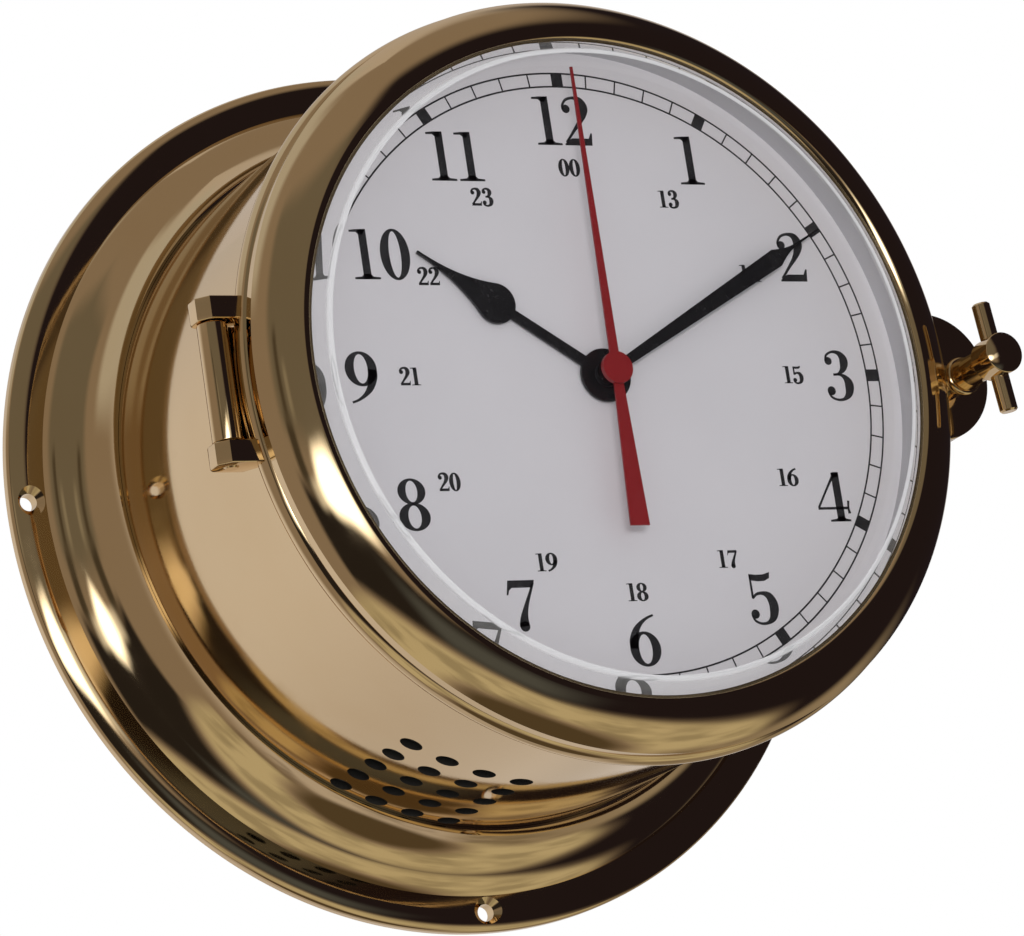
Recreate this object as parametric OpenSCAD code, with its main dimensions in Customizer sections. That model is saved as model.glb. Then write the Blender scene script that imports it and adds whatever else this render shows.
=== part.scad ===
// Bulkhead marine clock: a brass drum on a screwed flange, a hinged bezel with
// bevelled glass, a screw latch, and a battery movement behind a white dial.
// Every piece is drawn lying on its back: x to 3 o'clock, y to 12 o'clock, z out
// of the bulkhead. upright() then stands it up with the dial facing -Y.

/* [Case] */
// Outer diameter of the drum
case_d = 144; // [132:1:160]
// Wall of the drum
case_wall = 1.6; // [1.2:0.1:2.4]
// Height of the drum's front rim above the bulkhead
case_front = 84; // [78:1:100]
// Diameter of a sound hole
sound_d = 4.5; // [3:0.1:6]
// Spacing of the sound holes, round the drum and along it
sound_pitch = 7.9; // [7:0.1:9]
// Rows of sound holes along the drum
sound_rows = 5; // [1:1:6]
// Columns of sound holes round the drum
sound_cols = 4; // [1:1:8]
// Height of the lowest row above the bulkhead
sound_z = 19.1; // [18.8:0.1:22]
// Turn of the hole field from 6 o'clock towards the hinge, in degrees
sound_turn = 20.4; // [0:0.1:50]

/* [Flange] */
// Width of the flat ledge that takes the wall screws
ledge_w = 7; // [7:0.1:9]
// Height of the ledge
ledge_h = 4; // [3:0.1:4.4]
// Width of the rounded shoulder inside the ledge
shoulder_w = 3.6; // [3:0.1:5]
// Width of the cove that sweeps from the shoulder up to the drum
cove_w = 7.4; // [6.4:0.1:7.6]
// Slope where the shoulder runs into the cove, in degrees
sweep_angle = 28.5; // [25:0.5:32]
// Clearance hole of a wall screw
screw_d = 3.5; // [3:0.1:4.5]
// Diameter of the countersink
screw_csk_d = 6; // [5:0.1:7]

/* [Bezel] */
// Radial gap between the bezel's skirt and the drum
skirt_gap = 0.6; // [0.5:0.05:1]
// Wall of the skirt at the plain band
skirt_wall = 1.7; // [1.2:0.1:2.4]
// Radius of the bead at the rear of the bezel
bead_r = 2.6; // [2:0.1:3]
// Height of the plain band in front of the bead
band_h = 2.3; // [1:0.1:4]
// Radial width of the rounded front
front_w = 9; // [7:0.1:11]
// Height of the rounded front
front_h = 6.5; // [5.5:0.1:8]
// Radius of the front's curve
front_curve = 13.7; // [9:0.1:30]
// Thickness of the lip over the glass
lip_t = 2.5; // [2.2:0.1:2.8]

/* [Glass] */
// Thickness of the glass
glass_t = 6; // [5.8:0.1:6.4]
// Width of the bevel that shows inside the lip
bevel_w = 3.4; // [3:0.1:3.6]
// Slope of the bevel, in degrees
bevel_angle = 45; // [40:1:46]
// Width of the glass that the lip covers
glass_cover = 1.9; // [1.6:0.1:2.1]

/* [Dial and hands] */
// Thickness of the dial plate
dial_t = 1.2; // [0.8:0.1:2]
// Depth of the dial below the drum's front rim
surround_h = 4.8; // [4:0.1:6]
// Radial width of the ring round the dial
surround_w = 4.7; // [3:0.1:6]
// Length of the hour hand from the centre
hour_len = 43.6; // [38:0.1:50]
// Length of the minute hand from the centre
minute_len = 58.7; // [52:0.1:60]
// Length of the seconds hand from the centre
seconds_len = 60.5; // [52:0.1:61]
// Length of the seconds hand's tail
tail_len = 30.8; // [20:0.1:40]
// Hour hand at rest, degrees clockwise from 12
hour_angle = 304; // [0:0.5:360]
// Minute hand at rest, degrees clockwise from 12
minute_angle = 60.5; // [0:0.5:360]
// Seconds hand at rest, degrees clockwise from 12
seconds_angle = 0.5; // [0:0.5:360]

/* [Hinge] */
// Diameter of the hinge knuckle
knuckle_d = 5.7; // [5.2:0.1:6.2]
// Length of the knuckle
knuckle_len = 22.6; // [16:0.1:30]
// Height of each lug on the bezel
lug_w = 4.4; // [4:0.1:8]
// Diameter of the hinge pin
pin_d = 3; // [2:0.1:3.2]

/* [Latch] */
// Distance of the latch screw outside the bead
latch_offset = 6; // [5:0.1:8]
// Radius of the round lugs that carry the latch
lug_r = 13; // [12:0.1:16]
// Thickness of the lug on the bezel
lug_t = 2.5; // [2:0.1:3]
// Depth of the keeper on the drum
keeper_t = 6.5; // [5:0.1:9]
// Diameter of the screw's shank
shank_d = 4; // [3.4:0.1:4.6]
// Diameter of the knob on the screw
knob_d = 8.2; // [7.4:0.1:9]
// Length of the cross bar
bar_len = 22.2; // [16:0.1:26]
// Diameter of the cross bar
bar_d = 3.6; // [2.6:0.1:3.8]
// Height of the cross bar above the lug
bar_lift = 12; // [10:0.1:15]

/* [Movement] */
// Width and height of the movement's housing
mv_size = 56; // [56:0.5:60]
// Depth of the movement's housing
mv_depth = 16; // [16:0.1:19]
// Wall of the housing
mv_wall = 1.2; // [1:0.1:1.4]

/* [Hidden] */
$fn = 96;

// Clearances
seat_gap = 0.05;     // soldered or pressed seat
press_gap = 0.02;    // hand or gear on its pipe
run_gap = 0.05;      // shaft in its bearing
clear_gap = 0.3;     // faces that pass each other
bed_gap = 0.1;       // glass on its bedding
over = 1;            // how far a cutter runs past a face

// Case and flange
case_r = case_d / 2;
case_in = case_r - case_wall;
seat_w = 6;          // width of the floor under the drum
seat_z = 3;          // thickness of that floor
flange_r = case_r + cove_w + shoulder_w + ledge_w;
bore_r = case_r - seat_w;
foot_angle = 50;     // slope of the shoulder at its foot
cove_end = 78;       // slope of the cove at its top edge
cove_lip = 0.55;     // thickness of the cove's top edge round the drum
shoulder_r = shoulder_w / (sin(foot_angle) - sin(sweep_angle));
cove_r = (cove_w - cove_lip) / (sin(cove_end) - sin(sweep_angle));
sweep = [flange_r - ledge_w - shoulder_w, ledge_h + shoulder_r * (cos(sweep_angle) - cos(foot_angle))];
sweep_way = [sin(sweep_angle), cos(sweep_angle)];
rim_round = 1.8;
rim_chamfer = 0.6;
screw_count = 4;
screw_r = flange_r - rim_round - 2;
sound_step = sound_pitch / case_r * 180 / PI;

// Dial stack, from the rim down
surround_z = case_front - surround_h;
dial_r = case_in - clear_gap;
dial_z = surround_z - dial_t;
dial_seat_t = 2.5;
dial_seat_w = 6.3;
dial_hole_r = 3.2;
dial_screw_count = 3;
dial_screw_r = 0.95;
dial_screw_head_r = 1.9;
dial_screw_pos = case_in - 2.6;

// Bezel section, as radius and height
seal_t = 0.8;
skirt_r = case_r + skirt_gap;
shoulder_z = case_front + clear_gap + bed_gap + seal_t;
ridge = [skirt_r + skirt_wall, shoulder_z];
band_z = shoulder_z - band_h;
bead_c = [skirt_r + bed_gap, band_z - bead_r];
bead_or = bead_c[0] + bead_r;
bezel_back = bead_c[1] - bead_r;
groove_w = 0.3;
lip_r = ridge[0] - front_w;
lip_z = ridge[1] + front_h;
glass_r = lip_r + glass_cover;
pocket_r = glass_r + 2 * bed_gap;
bevel_in = lip_r - bevel_w;
glass_front = lip_z - lip_t + bevel_w * tan(bevel_angle);
glass_back = glass_front - glass_t;
gasket_t = 0.3;
retainer_z = case_front + 3 * clear_gap;

// Hinge at 9 o'clock, turning about the upright pin
knuckle_r = knuckle_d / 2;
hinge_gap = 0.15;
hinge_drop = 1.9;    // how far the pin lies behind the bead's middle
hinge_x = -(bead_or + hinge_gap + knuckle_r);
hinge_z = bead_c[1] - hinge_drop;
lug_gap = 0.25;
lug_y = knuckle_len / 2 + lug_gap;
pin_len = 2 * (lug_y + lug_w) + 2 * clear_gap;
web_t = 3;           // thickness of the knuckle's web on the drum
web_out = 0.7;       // reach of the web outside the pin's axis
lug_round = 0.8;     // rounding of the lugs' corners
lug_half = knuckle_r + 0.65;
lug_out = knuckle_r - 0.1;

// Latch at 3 o'clock, parallel to the clock's own axis
latch_x = bead_or + latch_offset;
lug_x = bead_or - 1.3;
lug_z = bezel_back + 0.5;
lug_top = lug_z + lug_t;
keeper_z = bezel_back - clear_gap - keeper_t;
thread_d = 3.2;
thread_gap = 0.3;
thread_in = 2.7;     // how deep the thread sits in the keeper
washer_t = 0.8;
washer_r = 3.9;
collar_r = 3.3;
collar_t = 1.2;
neck_r = 3;
neck_len = 4;
bar_z = lug_top + bar_lift;
knob_back = bar_z - 2.4;
knob_edge = bar_z + 3.7;
knob_dome = 9;       // radius of the knob's domed face
knob_soft = 0.3;     // rounding of the knob's edges
bar_tilt = 6;        // turn of the bar from upright, in degrees

// Movement, hung on two studs behind the dial
washer_pad_t = 0.5;
mv_front = dial_z - washer_pad_t;
mv_back = mv_front - mv_depth;
mv_in = mv_size / 2 - mv_wall;
bay_wall_y = -10.2;  // upper face of the wall over the battery
bay_top = bay_wall_y - mv_wall;
bay_y = (bay_top - mv_in) / 2;
bay_gap = 0.45;      // room round the cell
nub_r = 2.75;
nub_len = 1.3;
minus_room = 1.8;    // from the bay's end to the cell
plus_room = 1.3;
contact_t = 0.5;
contact_edge = 2.25; // how far a contact plate stays inside the cell's outline
battery_r = (bay_top + mv_in) / 2 - bay_gap;
battery_len = 2 * mv_in - nub_len - minus_room - plus_room;
battery_z = mv_front - mv_wall - bed_gap - battery_r;
battery_x = -mv_in + minus_room;
contact_w = 2 * (battery_r - contact_edge);
ear_w = 9;
ear_t = 2;
ear_y = 4;
stud_x = mv_size / 2 + 4;
stud_r = 1.5;
nut_t = 2.4;
stud_len = washer_pad_t + ear_t + nut_t + 1.5;
boss_r = 2.4;
boss_in = 2.3;
cover_screw_r = 0.8;
cover_head_r = 1.7;
cover_head_t = 1;
cover_slot_w = 0.4;
cover_screw_len = 7;
cover_bosses = [
    [mv_in - boss_in, mv_in - boss_in], [-mv_in + boss_in, mv_in - boss_in],
    [mv_in - boss_in, bay_wall_y + boss_in], [-mv_in + boss_in, bay_wall_y + boss_in]
];

// Gear train: tooth counts and modules
second_n = 60;
second_pin_n = 8;
third_n = 60;
third_pin_n = 8;
centre_n = 64;
cannon_n = 12;
minute_n = 36;
minute_pin_n = 10;
hour_n = 40;
setting_n = 18;
inter_n = 48;
inter_pin_n = 12;
rotor_n = 8;
third_dist = 10.2;
minute_dist = 9.6;
second_m = 0.3;
rotor_m = 0.25;
second_pin_m = 2 * third_dist / (second_pin_n + third_n);
third_pin_m = 2 * third_dist / (third_pin_n + centre_n);
cannon_m = 2 * minute_dist / (cannon_n + minute_n);
minute_pin_m = 2 * minute_dist / (minute_pin_n + hour_n);
inter_dist = second_m * (second_n + inter_pin_n) / 2;
rotor_dist = rotor_m * (inter_n + rotor_n) / 2;
setting_dist = cannon_m * (minute_n + setting_n) / 2;

// Directions between arbors, degrees from x, and where the arbors stand
third_dir = 170;
minute_dir = 20;
inter_dir = 90;
rotor_dir = 30;
setting_dir = -30;
third_at = polar(third_dist, third_dir);
minute_at = polar(minute_dist, minute_dir);
inter_at = polar(inter_dist, inter_dir);
rotor_at = inter_at + polar(rotor_dist, rotor_dir);
setting_at = minute_at + polar(setting_dist, setting_dir);

// Depths of the wheels behind the movement's front
hour_wheel_depth = 2.6;
minute_pin_depth = 3.1;
minute_wheel_depth = 4.2;
setting_gear_depth = 4.3;
cannon_depth = 4.4;
middle_plate_depth = 5.6;
centre_wheel_depth = 7.3;
third_pin_depth = 7.6;
third_wheel_depth = 9.3;
second_pin_depth = 9.6;
stator_depth = 9.9;
magnet_depth = 10.9;
second_wheel_depth = 11.1;
inter_pin_depth = 11.4;
inter_wheel_depth = 12.6;
rotor_pin_depth = 12.8;
rear_plate_depth = 14.3;
hour_wheel_z = mv_front - hour_wheel_depth;
minute_pin_z = mv_front - minute_pin_depth;
minute_wheel_z = mv_front - minute_wheel_depth;
setting_gear_z = mv_front - setting_gear_depth;
cannon_z = mv_front - cannon_depth;
middle_plate_z = mv_front - middle_plate_depth;
centre_wheel_z = mv_front - centre_wheel_depth;
third_pin_z = mv_front - third_pin_depth;
third_wheel_z = mv_front - third_wheel_depth;
second_pin_z = mv_front - second_pin_depth;
stator_z = mv_front - stator_depth;
magnet_z = mv_front - magnet_depth;
second_wheel_z = mv_front - second_wheel_depth;
inter_pin_z = mv_front - inter_pin_depth;
inter_wheel_z = mv_front - inter_wheel_depth;
rotor_pin_z = mv_front - rotor_pin_depth;
rear_plate_z = mv_front - rear_plate_depth;
wheel_t = 1;
pinion_t = 1.6;
rotor_pin_t = 1.2;
middle_plate_t = 0.8;
rear_plate_t = 1;
arbor_r = 0.5;
second_arbor_r = 0.75;
minute_pipe_r = 1.5;
hour_pipe_r = 2.4;
bush_r = 3;
bush_head_r = 5;
pad_in_r = 6;
pad_out_r = 14;
post_r = 0.6;
pillar_r = 1.2;
setting_arbor_r = 1;
setting_knob_r = 5;
setting_knob_t = 3;
magnet_r = 2.5;
magnet_t = 3;
pillars = [[-14, 15], [13.5, 13], [10, -6.5], [-17.5, -6]];
plate_edge = 1.2;    // plate outside its pillars
plate_low = [pillars[3][0] - pillar_r - plate_edge / 4, pillars[2][1] - pillar_r - plate_edge / 4];
plate_high = [pillars[1][0] + pillar_r + plate_edge, rotor_at[1] + magnet_r + plate_edge];

// Hands above the dial
hour_lift = 0.5;
minute_lift = 2.6;
seconds_lift = 5;
hour_t = 0.6;
minute_t = 0.5;
seconds_t = 0.4;
hour_hub_r = 5.25;
minute_hub_r = 2.6;
seconds_hub_r = 3.15;
seconds_hub_t = 1;

// Finishes
brass = [0.80, 0.64, 0.36];
steel = [0.62, 0.63, 0.65];
black_plastic = [0.08, 0.08, 0.09];

function polar(r, a) = [r * cos(a), r * sin(a)];

// Points of an arc about c from angle a0 to a1
function arc(c, r, a0, a1, n) = [for (i = [0:n]) c + polar(r, a0 + (a1 - a0) * i / n)];

// Centre of the arc of radius r that runs from p to q, bulging to the right of the way
function arc_centre(p, q, r) =
    let (d = q - p, h = norm(d) / 2, m = (p + q) / 2)
    m + sqrt(max(r * r - h * h, 0)) * [-d[1], d[0]] / norm(d);

function angle_of(v) = atan2(v[1], v[0]);

// Phase of gear b that meshes with gear a, seen from a in direction dir
function mesh_phase(dir, na, phase_a, nb) = dir + 180 + 180 / nb + (dir - phase_a) * na / nb;

// Outline of a gear: straight-sided teeth with room to run
function gear_points(n, m, phase) =
    let (p = 360 / n, tip = m * n / 2 + 0.75 * m, root = m * n / 2 - 1.1 * m)
    [for (i = [0:n - 1]) for (q = [[root, -0.3], [tip, -0.11], [tip, 0.11], [root, 0.3]])
        polar(q[0], phase + p * (i + q[1]))];

// Half-width of a hand that draws in to its point
function draw_in(u, w0, w1, k) = w1 + (w0 - w1) * pow(1 - u, k);

module upright() {
    rotate([90, 0, 0])
        children();
}

// Turns a hand or piece on the dial clockwise from 12
module clockwise(a) {
    rotate([0, 0, -a])
        children();
}

module ring(r0, r1, z0, z1) {
    translate([0, 0, z0])
        difference() {
            cylinder(r = r1, h = z1 - z0);
            translate([0, 0, -over])
                cylinder(r = r0, h = z1 - z0 + 2 * over);
        }
}

module rod(r, z0, z1) {
    translate([0, 0, z0])
        cylinder(r = r, h = z1 - z0);
}

module at(p) {
    translate([p[0], p[1], 0])
        children();
}

module block(low, high, z0, z1) {
    translate([low[0], low[1], z0])
        cube([high[0] - low[0], high[1] - low[1], z1 - z0]);
}

module gear(n, m, phase, z, t) {
    translate([0, 0, z])
        linear_extrude(t)
            polygon(gear_points(n, m, phase));
}

// Flange and case

module flange_section() {
    cove_line = [for (i = [1:16]) let (a = sweep_angle + (cove_end - sweep_angle) * i / 16)
        sweep + cove_r * sweep_way - cove_r * [sin(a), cos(a)]];
    polygon(concat(
        [[bore_r, 0], [flange_r - rim_chamfer, 0], [flange_r, rim_chamfer]],
        arc([flange_r - rim_round, ledge_h - rim_round], rim_round, 0, 90, 8),
        arc(sweep - shoulder_r * sweep_way, shoulder_r, 90 - foot_angle, 90 - sweep_angle, 8),
        cove_line,
        [[case_r + seat_gap, cove_line[len(cove_line) - 1][1]],
         [case_r + seat_gap, seat_z], [bore_r, seat_z]]));
}

module wall_screw_hole() {
    depth = (screw_csk_d - screw_d) / 2;
    rod(screw_d / 2, -over, ledge_h + over);
    translate([0, 0, ledge_h - depth])
        cylinder(d1 = screw_d, d2 = screw_csk_d, h = depth);
    rod(screw_csk_d / 2, ledge_h, ledge_h + over);
}

module flange() {
    color(brass)
        upright()
            difference() {
                rotate_extrude()
                    flange_section();
                for (i = [0:screw_count - 1])
                    at(polar(screw_r, i * 360 / screw_count))
                        wall_screw_hole();
            }
}

module case_drum() {
    color(brass)
        upright()
            difference() {
                ring(case_in, case_r, seat_z, case_front);
                for (i = [0:sound_cols - 1], j = [0:sound_rows - 1])
                    rotate([0, 0, -90 - sound_turn - (i - (sound_cols - 1) / 2) * sound_step])
                        translate([case_in - over, 0, sound_z + j * sound_pitch])
                            rotate([0, 90, 0])
                                cylinder(d = sound_d, h = case_wall + 2 * over);
            }
}

// Hinge

module hinge_rod(r, y0, y1) {
    translate([hinge_x, y1, hinge_z])
        rotate([90, 0, 0])
            cylinder(r = r, h = y1 - y0);
}

module hinge_knuckle() {
    half = knuckle_len / 2;
    web_top = bezel_back - clear_gap;
    color(brass)
        upright()
            difference() {
                union() {
                    hinge_rod(knuckle_r, -half, half);
                    translate([hinge_x - web_out, -half, web_top - web_t])
                        cube([web_out + knuckle_r, knuckle_len, hinge_z - web_top + web_t]);
                    translate([hinge_x, -half, web_top - web_t])
                        cube([-hinge_x - case_r + over + 2, knuckle_len, web_t]);
                }
                rod(case_r + seat_gap, 0, case_front);
                hinge_rod(pin_d / 2 + run_gap, -half - over, half + over);
            }
}

module hinge_lugs() {
    left = hinge_x - lug_out + lug_round;
    rise = lug_half - lug_round;
    color(brass)
        upright()
            difference() {
                for (y = [lug_y, -lug_y - lug_w])
                    translate([0, y + lug_w, 0])
                        rotate([90, 0, 0])
                            linear_extrude(lug_w)
                                polygon(concat(
                                    arc([left, hinge_z + rise], lug_round, 90, 180, 6),
                                    arc([left, hinge_z - rise], lug_round, 180, 270, 6),
                                    [[hinge_x + knuckle_r + 1, hinge_z - lug_half], [over - skirt_r, bezel_back],
                                     [over - skirt_r, hinge_z + lug_half]]));
                rotate_extrude()
                    bezel_outside(seat_gap);
                hinge_rod(pin_d / 2 + press_gap, -pin_len, pin_len);
            }
}

module hinge_pin() {
    color(steel)
        upright()
            hinge_rod(pin_d / 2, -pin_len / 2, pin_len / 2);
}

// Latch

module latch_keeper() {
    color(brass)
        upright()
            difference() {
                at([lug_x, 0])
                    rod(lug_r, keeper_z, keeper_z + keeper_t);
                rod(case_r + seat_gap, 0, case_front);
                at([latch_x, 0])
                    rod(thread_d / 2 + thread_gap, keeper_z - over, keeper_z + keeper_t + over);
            }
}

module latch_lug() {
    color(brass)
        upright()
            difference() {
                at([lug_x, 0])
                    rod(lug_r, lug_z, lug_top);
                rod(case_r, 0, case_front);
                rotate_extrude()
                    bezel_outside(seat_gap);
                at([latch_x, 0])
                    rod(shank_d / 2 + run_gap, lug_z - over, lug_top + over);
            }
}

module latch_washer() {
    color(brass)
        upright()
            at([latch_x, 0])
                ring(shank_d / 2 + run_gap, washer_r, lug_top + bed_gap, lug_top + bed_gap + washer_t);
}

module latch_screw() {
    collar_z = lug_top + 2 * bed_gap + washer_t;
    thread_end = keeper_z + keeper_t - thread_in;
    neck_z = bar_z - neck_len;
    color(brass)
        upright()
            at([latch_x, 0]) {
                rod(thread_d / 2, thread_end, lug_z);
                rod(shank_d / 2, lug_z, collar_z + collar_t);
                rod(collar_r, collar_z, collar_z + collar_t);
                rod(neck_r, collar_z + collar_t, neck_z);
            }
}

module knob_section() {
    face_r = knob_d / 2 - knob_soft;
    face_a = asin(face_r / knob_dome);
    polygon(concat(
        [[0, bar_z - neck_len], [neck_r, bar_z - neck_len], [neck_r, knob_back],
         [face_r, knob_back], [knob_d / 2, knob_back + knob_soft], [knob_d / 2, knob_edge - knob_soft]],
        arc([0, knob_edge - knob_dome * cos(face_a)], knob_dome, 90 - face_a, 90, 8)));
}

module latch_knob() {
    color(brass)
        upright()
            at([latch_x, 0])
                difference() {
                    rotate_extrude()
                        knob_section();
                    bar_rod(bar_d / 2 + press_gap, bar_len);
                }
}

module bar_rod(r, len) {
    translate([0, 0, bar_z])
        rotate([0, 0, bar_tilt])
            rotate([90, 0, 0])
                cylinder(r = r, h = len, center = true);
}

module latch_bar() {
    color(brass)
        upright()
            at([latch_x, 0])
                bar_rod(bar_d / 2, bar_len);
}

// Bezel and glass

// Outside of the bezel, from the rear face to the lip, let out by gap
module bezel_outside(gap) {
    c = arc_centre(ridge, [lip_r, lip_z], front_curve);
    polygon(concat(
        [[case_r, bezel_back - gap]],
        arc(bead_c, bead_r + gap, -90, 60, 14),
        [[ridge[0] - groove_w + gap, band_z], [ridge[0] + gap, band_z + groove_w]],
        arc(c, front_curve + gap, angle_of(ridge - c), angle_of([lip_r, lip_z] - c), 14),
        [[case_r - front_w - skirt_wall, lip_z], [case_r - front_w - skirt_wall, shoulder_z], [case_r, shoulder_z]]));
}

// Room inside the bezel for the drum, the retainer and the glass
module bezel_inside() {
    slope = tan(bevel_angle);
    polygon([
        [0, bezel_back - over], [skirt_r, bezel_back - over], [skirt_r, shoulder_z], [pocket_r, shoulder_z],
        [pocket_r, lip_z - lip_t + bed_gap - (pocket_r - lip_r) * slope],
        [lip_r, lip_z - lip_t + bed_gap], [lip_r, lip_z + over], [0, lip_z + over]
    ]);
}

module bezel() {
    color(brass)
        upright()
            difference() {
                rotate_extrude()
                    bezel_outside(0);
                rotate_extrude()
                    bezel_inside();
            }
}

module glass() {
    color([0.8, 0.9, 0.9, 0.3])
        upright()
            rotate_extrude()
                polygon([
                    [0, glass_back], [glass_r, glass_back],
                    [glass_r, glass_front - (glass_r - bevel_in) * tan(bevel_angle)],
                    [bevel_in, glass_front], [0, glass_front]
                ]);
}

module glass_gasket() {
    color(black_plastic)
        upright()
            ring(lip_r + bed_gap, glass_r, glass_back - gasket_t, glass_back);
}

module glass_retainer() {
    color(brass)
        upright()
            ring(lip_r + bed_gap, pocket_r - bed_gap, retainer_z, glass_back - gasket_t);
}

module bezel_seal() {
    color([0.2, 0.2, 0.22])
        upright()
            ring(pocket_r + clear_gap, skirt_r - clear_gap, shoulder_z - seal_t, shoulder_z);
}

// Dial

module dial_screw_places() {
    for (i = [0:dial_screw_count - 1])
        at(polar(dial_screw_pos, 30 + i * 360 / dial_screw_count))
            children();
}

module dial_screw_shape(gap) {
    head = dial_screw_head_r - dial_screw_r;
    rod(dial_screw_r + gap, dial_z - dial_seat_t + 2 * bed_gap - gap, surround_z - head / 2);
    translate([0, 0, surround_z - head])
        cylinder(r1 = dial_screw_r + gap, r2 = dial_screw_head_r + gap, h = head);
}

module dial_seat() {
    color(brass)
        upright()
            difference() {
                ring(case_in - dial_seat_w, case_in - seat_gap, dial_z - dial_seat_t, dial_z);
                dial_screw_places()
                    rod(dial_screw_r + seat_gap, dial_z - dial_seat_t - over, dial_z + over);
            }
}

module dial_plate() {
    color([0.85, 0.85, 0.86])
        upright()
            difference() {
                rod(dial_r, dial_z, surround_z);
                rod(dial_hole_r, dial_z - over, surround_z + over);
                dial_screw_places()
                    dial_screw_shape(seat_gap);
            }
}

module dial_screws() {
    color(steel)
        upright()
            dial_screw_places()
                dial_screw_shape(0);
}

module dial_surround() {
    color([0.66, 0.66, 0.67])
        upright()
            ring(dial_r - surround_w, dial_r, surround_z, case_front);
}

module stud_places() {
    for (x = [-stud_x, stud_x])
        at([x, ear_y])
            children();
}

module dial_studs() {
    color(steel)
        upright()
            stud_places()
                rod(stud_r, dial_z - stud_len, dial_z);
}

module stud_nuts() {
    top = mv_front - ear_t;
    color(steel)
        upright()
            stud_places()
                difference() {
                    translate([0, 0, top - nut_t])
                        cylinder(r = 2 * stud_r, h = nut_t, $fn = 6);
                    rod(stud_r + press_gap, top - nut_t - over, top + over);
                }
}

// Hands, drawn to 12 o'clock and then turned

// Mirrors half an outline, given as half-widths and heights
module both_sides(half) {
    polygon(concat(half, [for (i = [len(half) - 1:-1:0]) [-half[i][0], half[i][1]]]));
}

module hour_hand() {
    z = surround_z + hour_lift;
    drop_r = 4;
    drop_y = hour_len - 18.2;
    color(black_plastic)
        upright()
            clockwise(hour_angle)
                difference() {
                    translate([0, 0, z])
                        linear_extrude(hour_t) {
                            circle(r = hour_hub_r);
                            both_sides([[1.1, 0], [0.95, drop_y]]);
                            translate([0, drop_y])
                                circle(r = drop_r);
                            both_sides([for (i = [0:10])
                                [draw_in(i / 10, drop_r * 0.94, 0.25, 2.4), drop_y + 1.4 + (16.8 * i) / 10]]);
                        }
                    rod(hour_pipe_r + press_gap, z - over, z + hour_t + over);
                }
}

module minute_hand() {
    z = surround_z + minute_lift;
    shoulder = minute_len - 12;
    color(black_plastic)
        upright()
            clockwise(minute_angle)
                difference() {
                    translate([0, 0, z])
                        linear_extrude(minute_t) {
                            circle(r = minute_hub_r);
                            both_sides(concat(
                                [[0.9, 0]],
                                [for (i = [0:8])
                                    [draw_in(i / 8, 1.85, 0.3, 1.8), shoulder + (5.6 * i) / 8]],
                                [[0.15, minute_len]]));
                        }
                    rod(minute_pipe_r + press_gap, z - over, z + minute_t + over);
                }
}

module seconds_hand() {
    z = surround_z + seconds_lift;
    sleeve = 1.2;
    color([0.70, 0.08, 0.09])
        upright()
            clockwise(seconds_angle)
                difference() {
                    union() {
                        translate([0, 0, z])
                            linear_extrude(seconds_t) {
                                both_sides([[1, 0], [0.25, seconds_len]]);
                                both_sides([[2.05, -tail_len], [0.9, 0]]);
                            }
                        rod(seconds_hub_r, z, z + seconds_hub_t);
                        rod(minute_pipe_r, z - sleeve, z);
                    }
                    rod(second_arbor_r + press_gap, z - sleeve - over, z + seconds_t);
                }
}

// Movement housing

module movement_housing() {
    half = mv_size / 2;
    front_in = mv_front - mv_wall;
    color(black_plastic)
        upright()
            difference() {
                union() {
                    difference() {
                        union() {
                            block([-half, -half], [half, half], mv_back, mv_front);
                            block([-stud_x - ear_w / 2, ear_y - ear_w / 2], [stud_x + ear_w / 2, ear_y + ear_w / 2],
                                  mv_front - ear_t, mv_front);
                        }
                        block([-mv_in, bay_wall_y], [mv_in, mv_in], mv_back - over, front_in);
                        block([-mv_in, -mv_in], [mv_in, bay_top], mv_back - over, front_in);
                    }
                    for (p = cover_bosses)
                        at(p)
                            rod(boss_r, mv_back, front_in + over / 2);
                    for (p = pillars)
                        at(p)
                            rod(pillar_r, middle_plate_z + middle_plate_t, front_in + over / 2);
                    at(minute_at)
                        rod(post_r, minute_wheel_z - clear_gap, front_in + over / 2);
                }
                rod(bush_r + seat_gap, front_in - over, mv_front + over);
                for (p = cover_bosses)
                    at(p)
                        rod(cover_screw_r + seat_gap, mv_back - over, mv_back + cover_screw_len + over);
                stud_places()
                    rod(stud_r + 2 * bed_gap, mv_front - ear_t - over, mv_front + over);
            }
}

module movement_cover() {
    half = mv_size / 2;
    color([0.12, 0.12, 0.13])
        upright()
            difference() {
                block([-half, bay_top], [half, half], mv_back - mv_wall, mv_back);
                at(setting_at)
                    rod(setting_arbor_r + run_gap, mv_back - mv_wall - over, mv_back + over);
                for (p = cover_bosses)
                    at(p)
                        rod(cover_screw_r + seat_gap, mv_back - mv_wall - over, mv_back + over);
            }
}

module cover_screws() {
    back = mv_back - mv_wall;
    color(steel)
        upright()
            for (p = cover_bosses)
                at(p) {
                    rod(cover_screw_r, back - cover_head_t / 2, mv_back + cover_screw_len);
                    difference() {
                        rod(cover_head_r, back - cover_head_t, back);
                        translate([-cover_head_r, -cover_slot_w / 2, back - 1.5 * cover_head_t])
                            cube([2 * cover_head_r, cover_slot_w, cover_head_t]);
                    }
                }
}

module centre_bush() {
    color(brass)
        upright()
            difference() {
                union() {
                    rod(bush_r, mv_front - mv_wall, surround_z - clear_gap);
                    rod(bush_head_r, mv_front, mv_front + washer_pad_t - seat_gap);
                }
                rod(hour_pipe_r + run_gap, mv_front - mv_wall - over, surround_z + over);
            }
}

module movement_washer() {
    color([0.15, 0.15, 0.15])
        upright()
            ring(pad_in_r, pad_out_r, mv_front, dial_z);
}

// Plates that carry the arbors

module train_holes(centre_hole, z, t) {
    rod(centre_hole, z - over, z + t + over);
    for (p = [third_at, inter_at, rotor_at])
        at(p)
            rod(arbor_r + run_gap, z - over, z + t + over);
}

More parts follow.
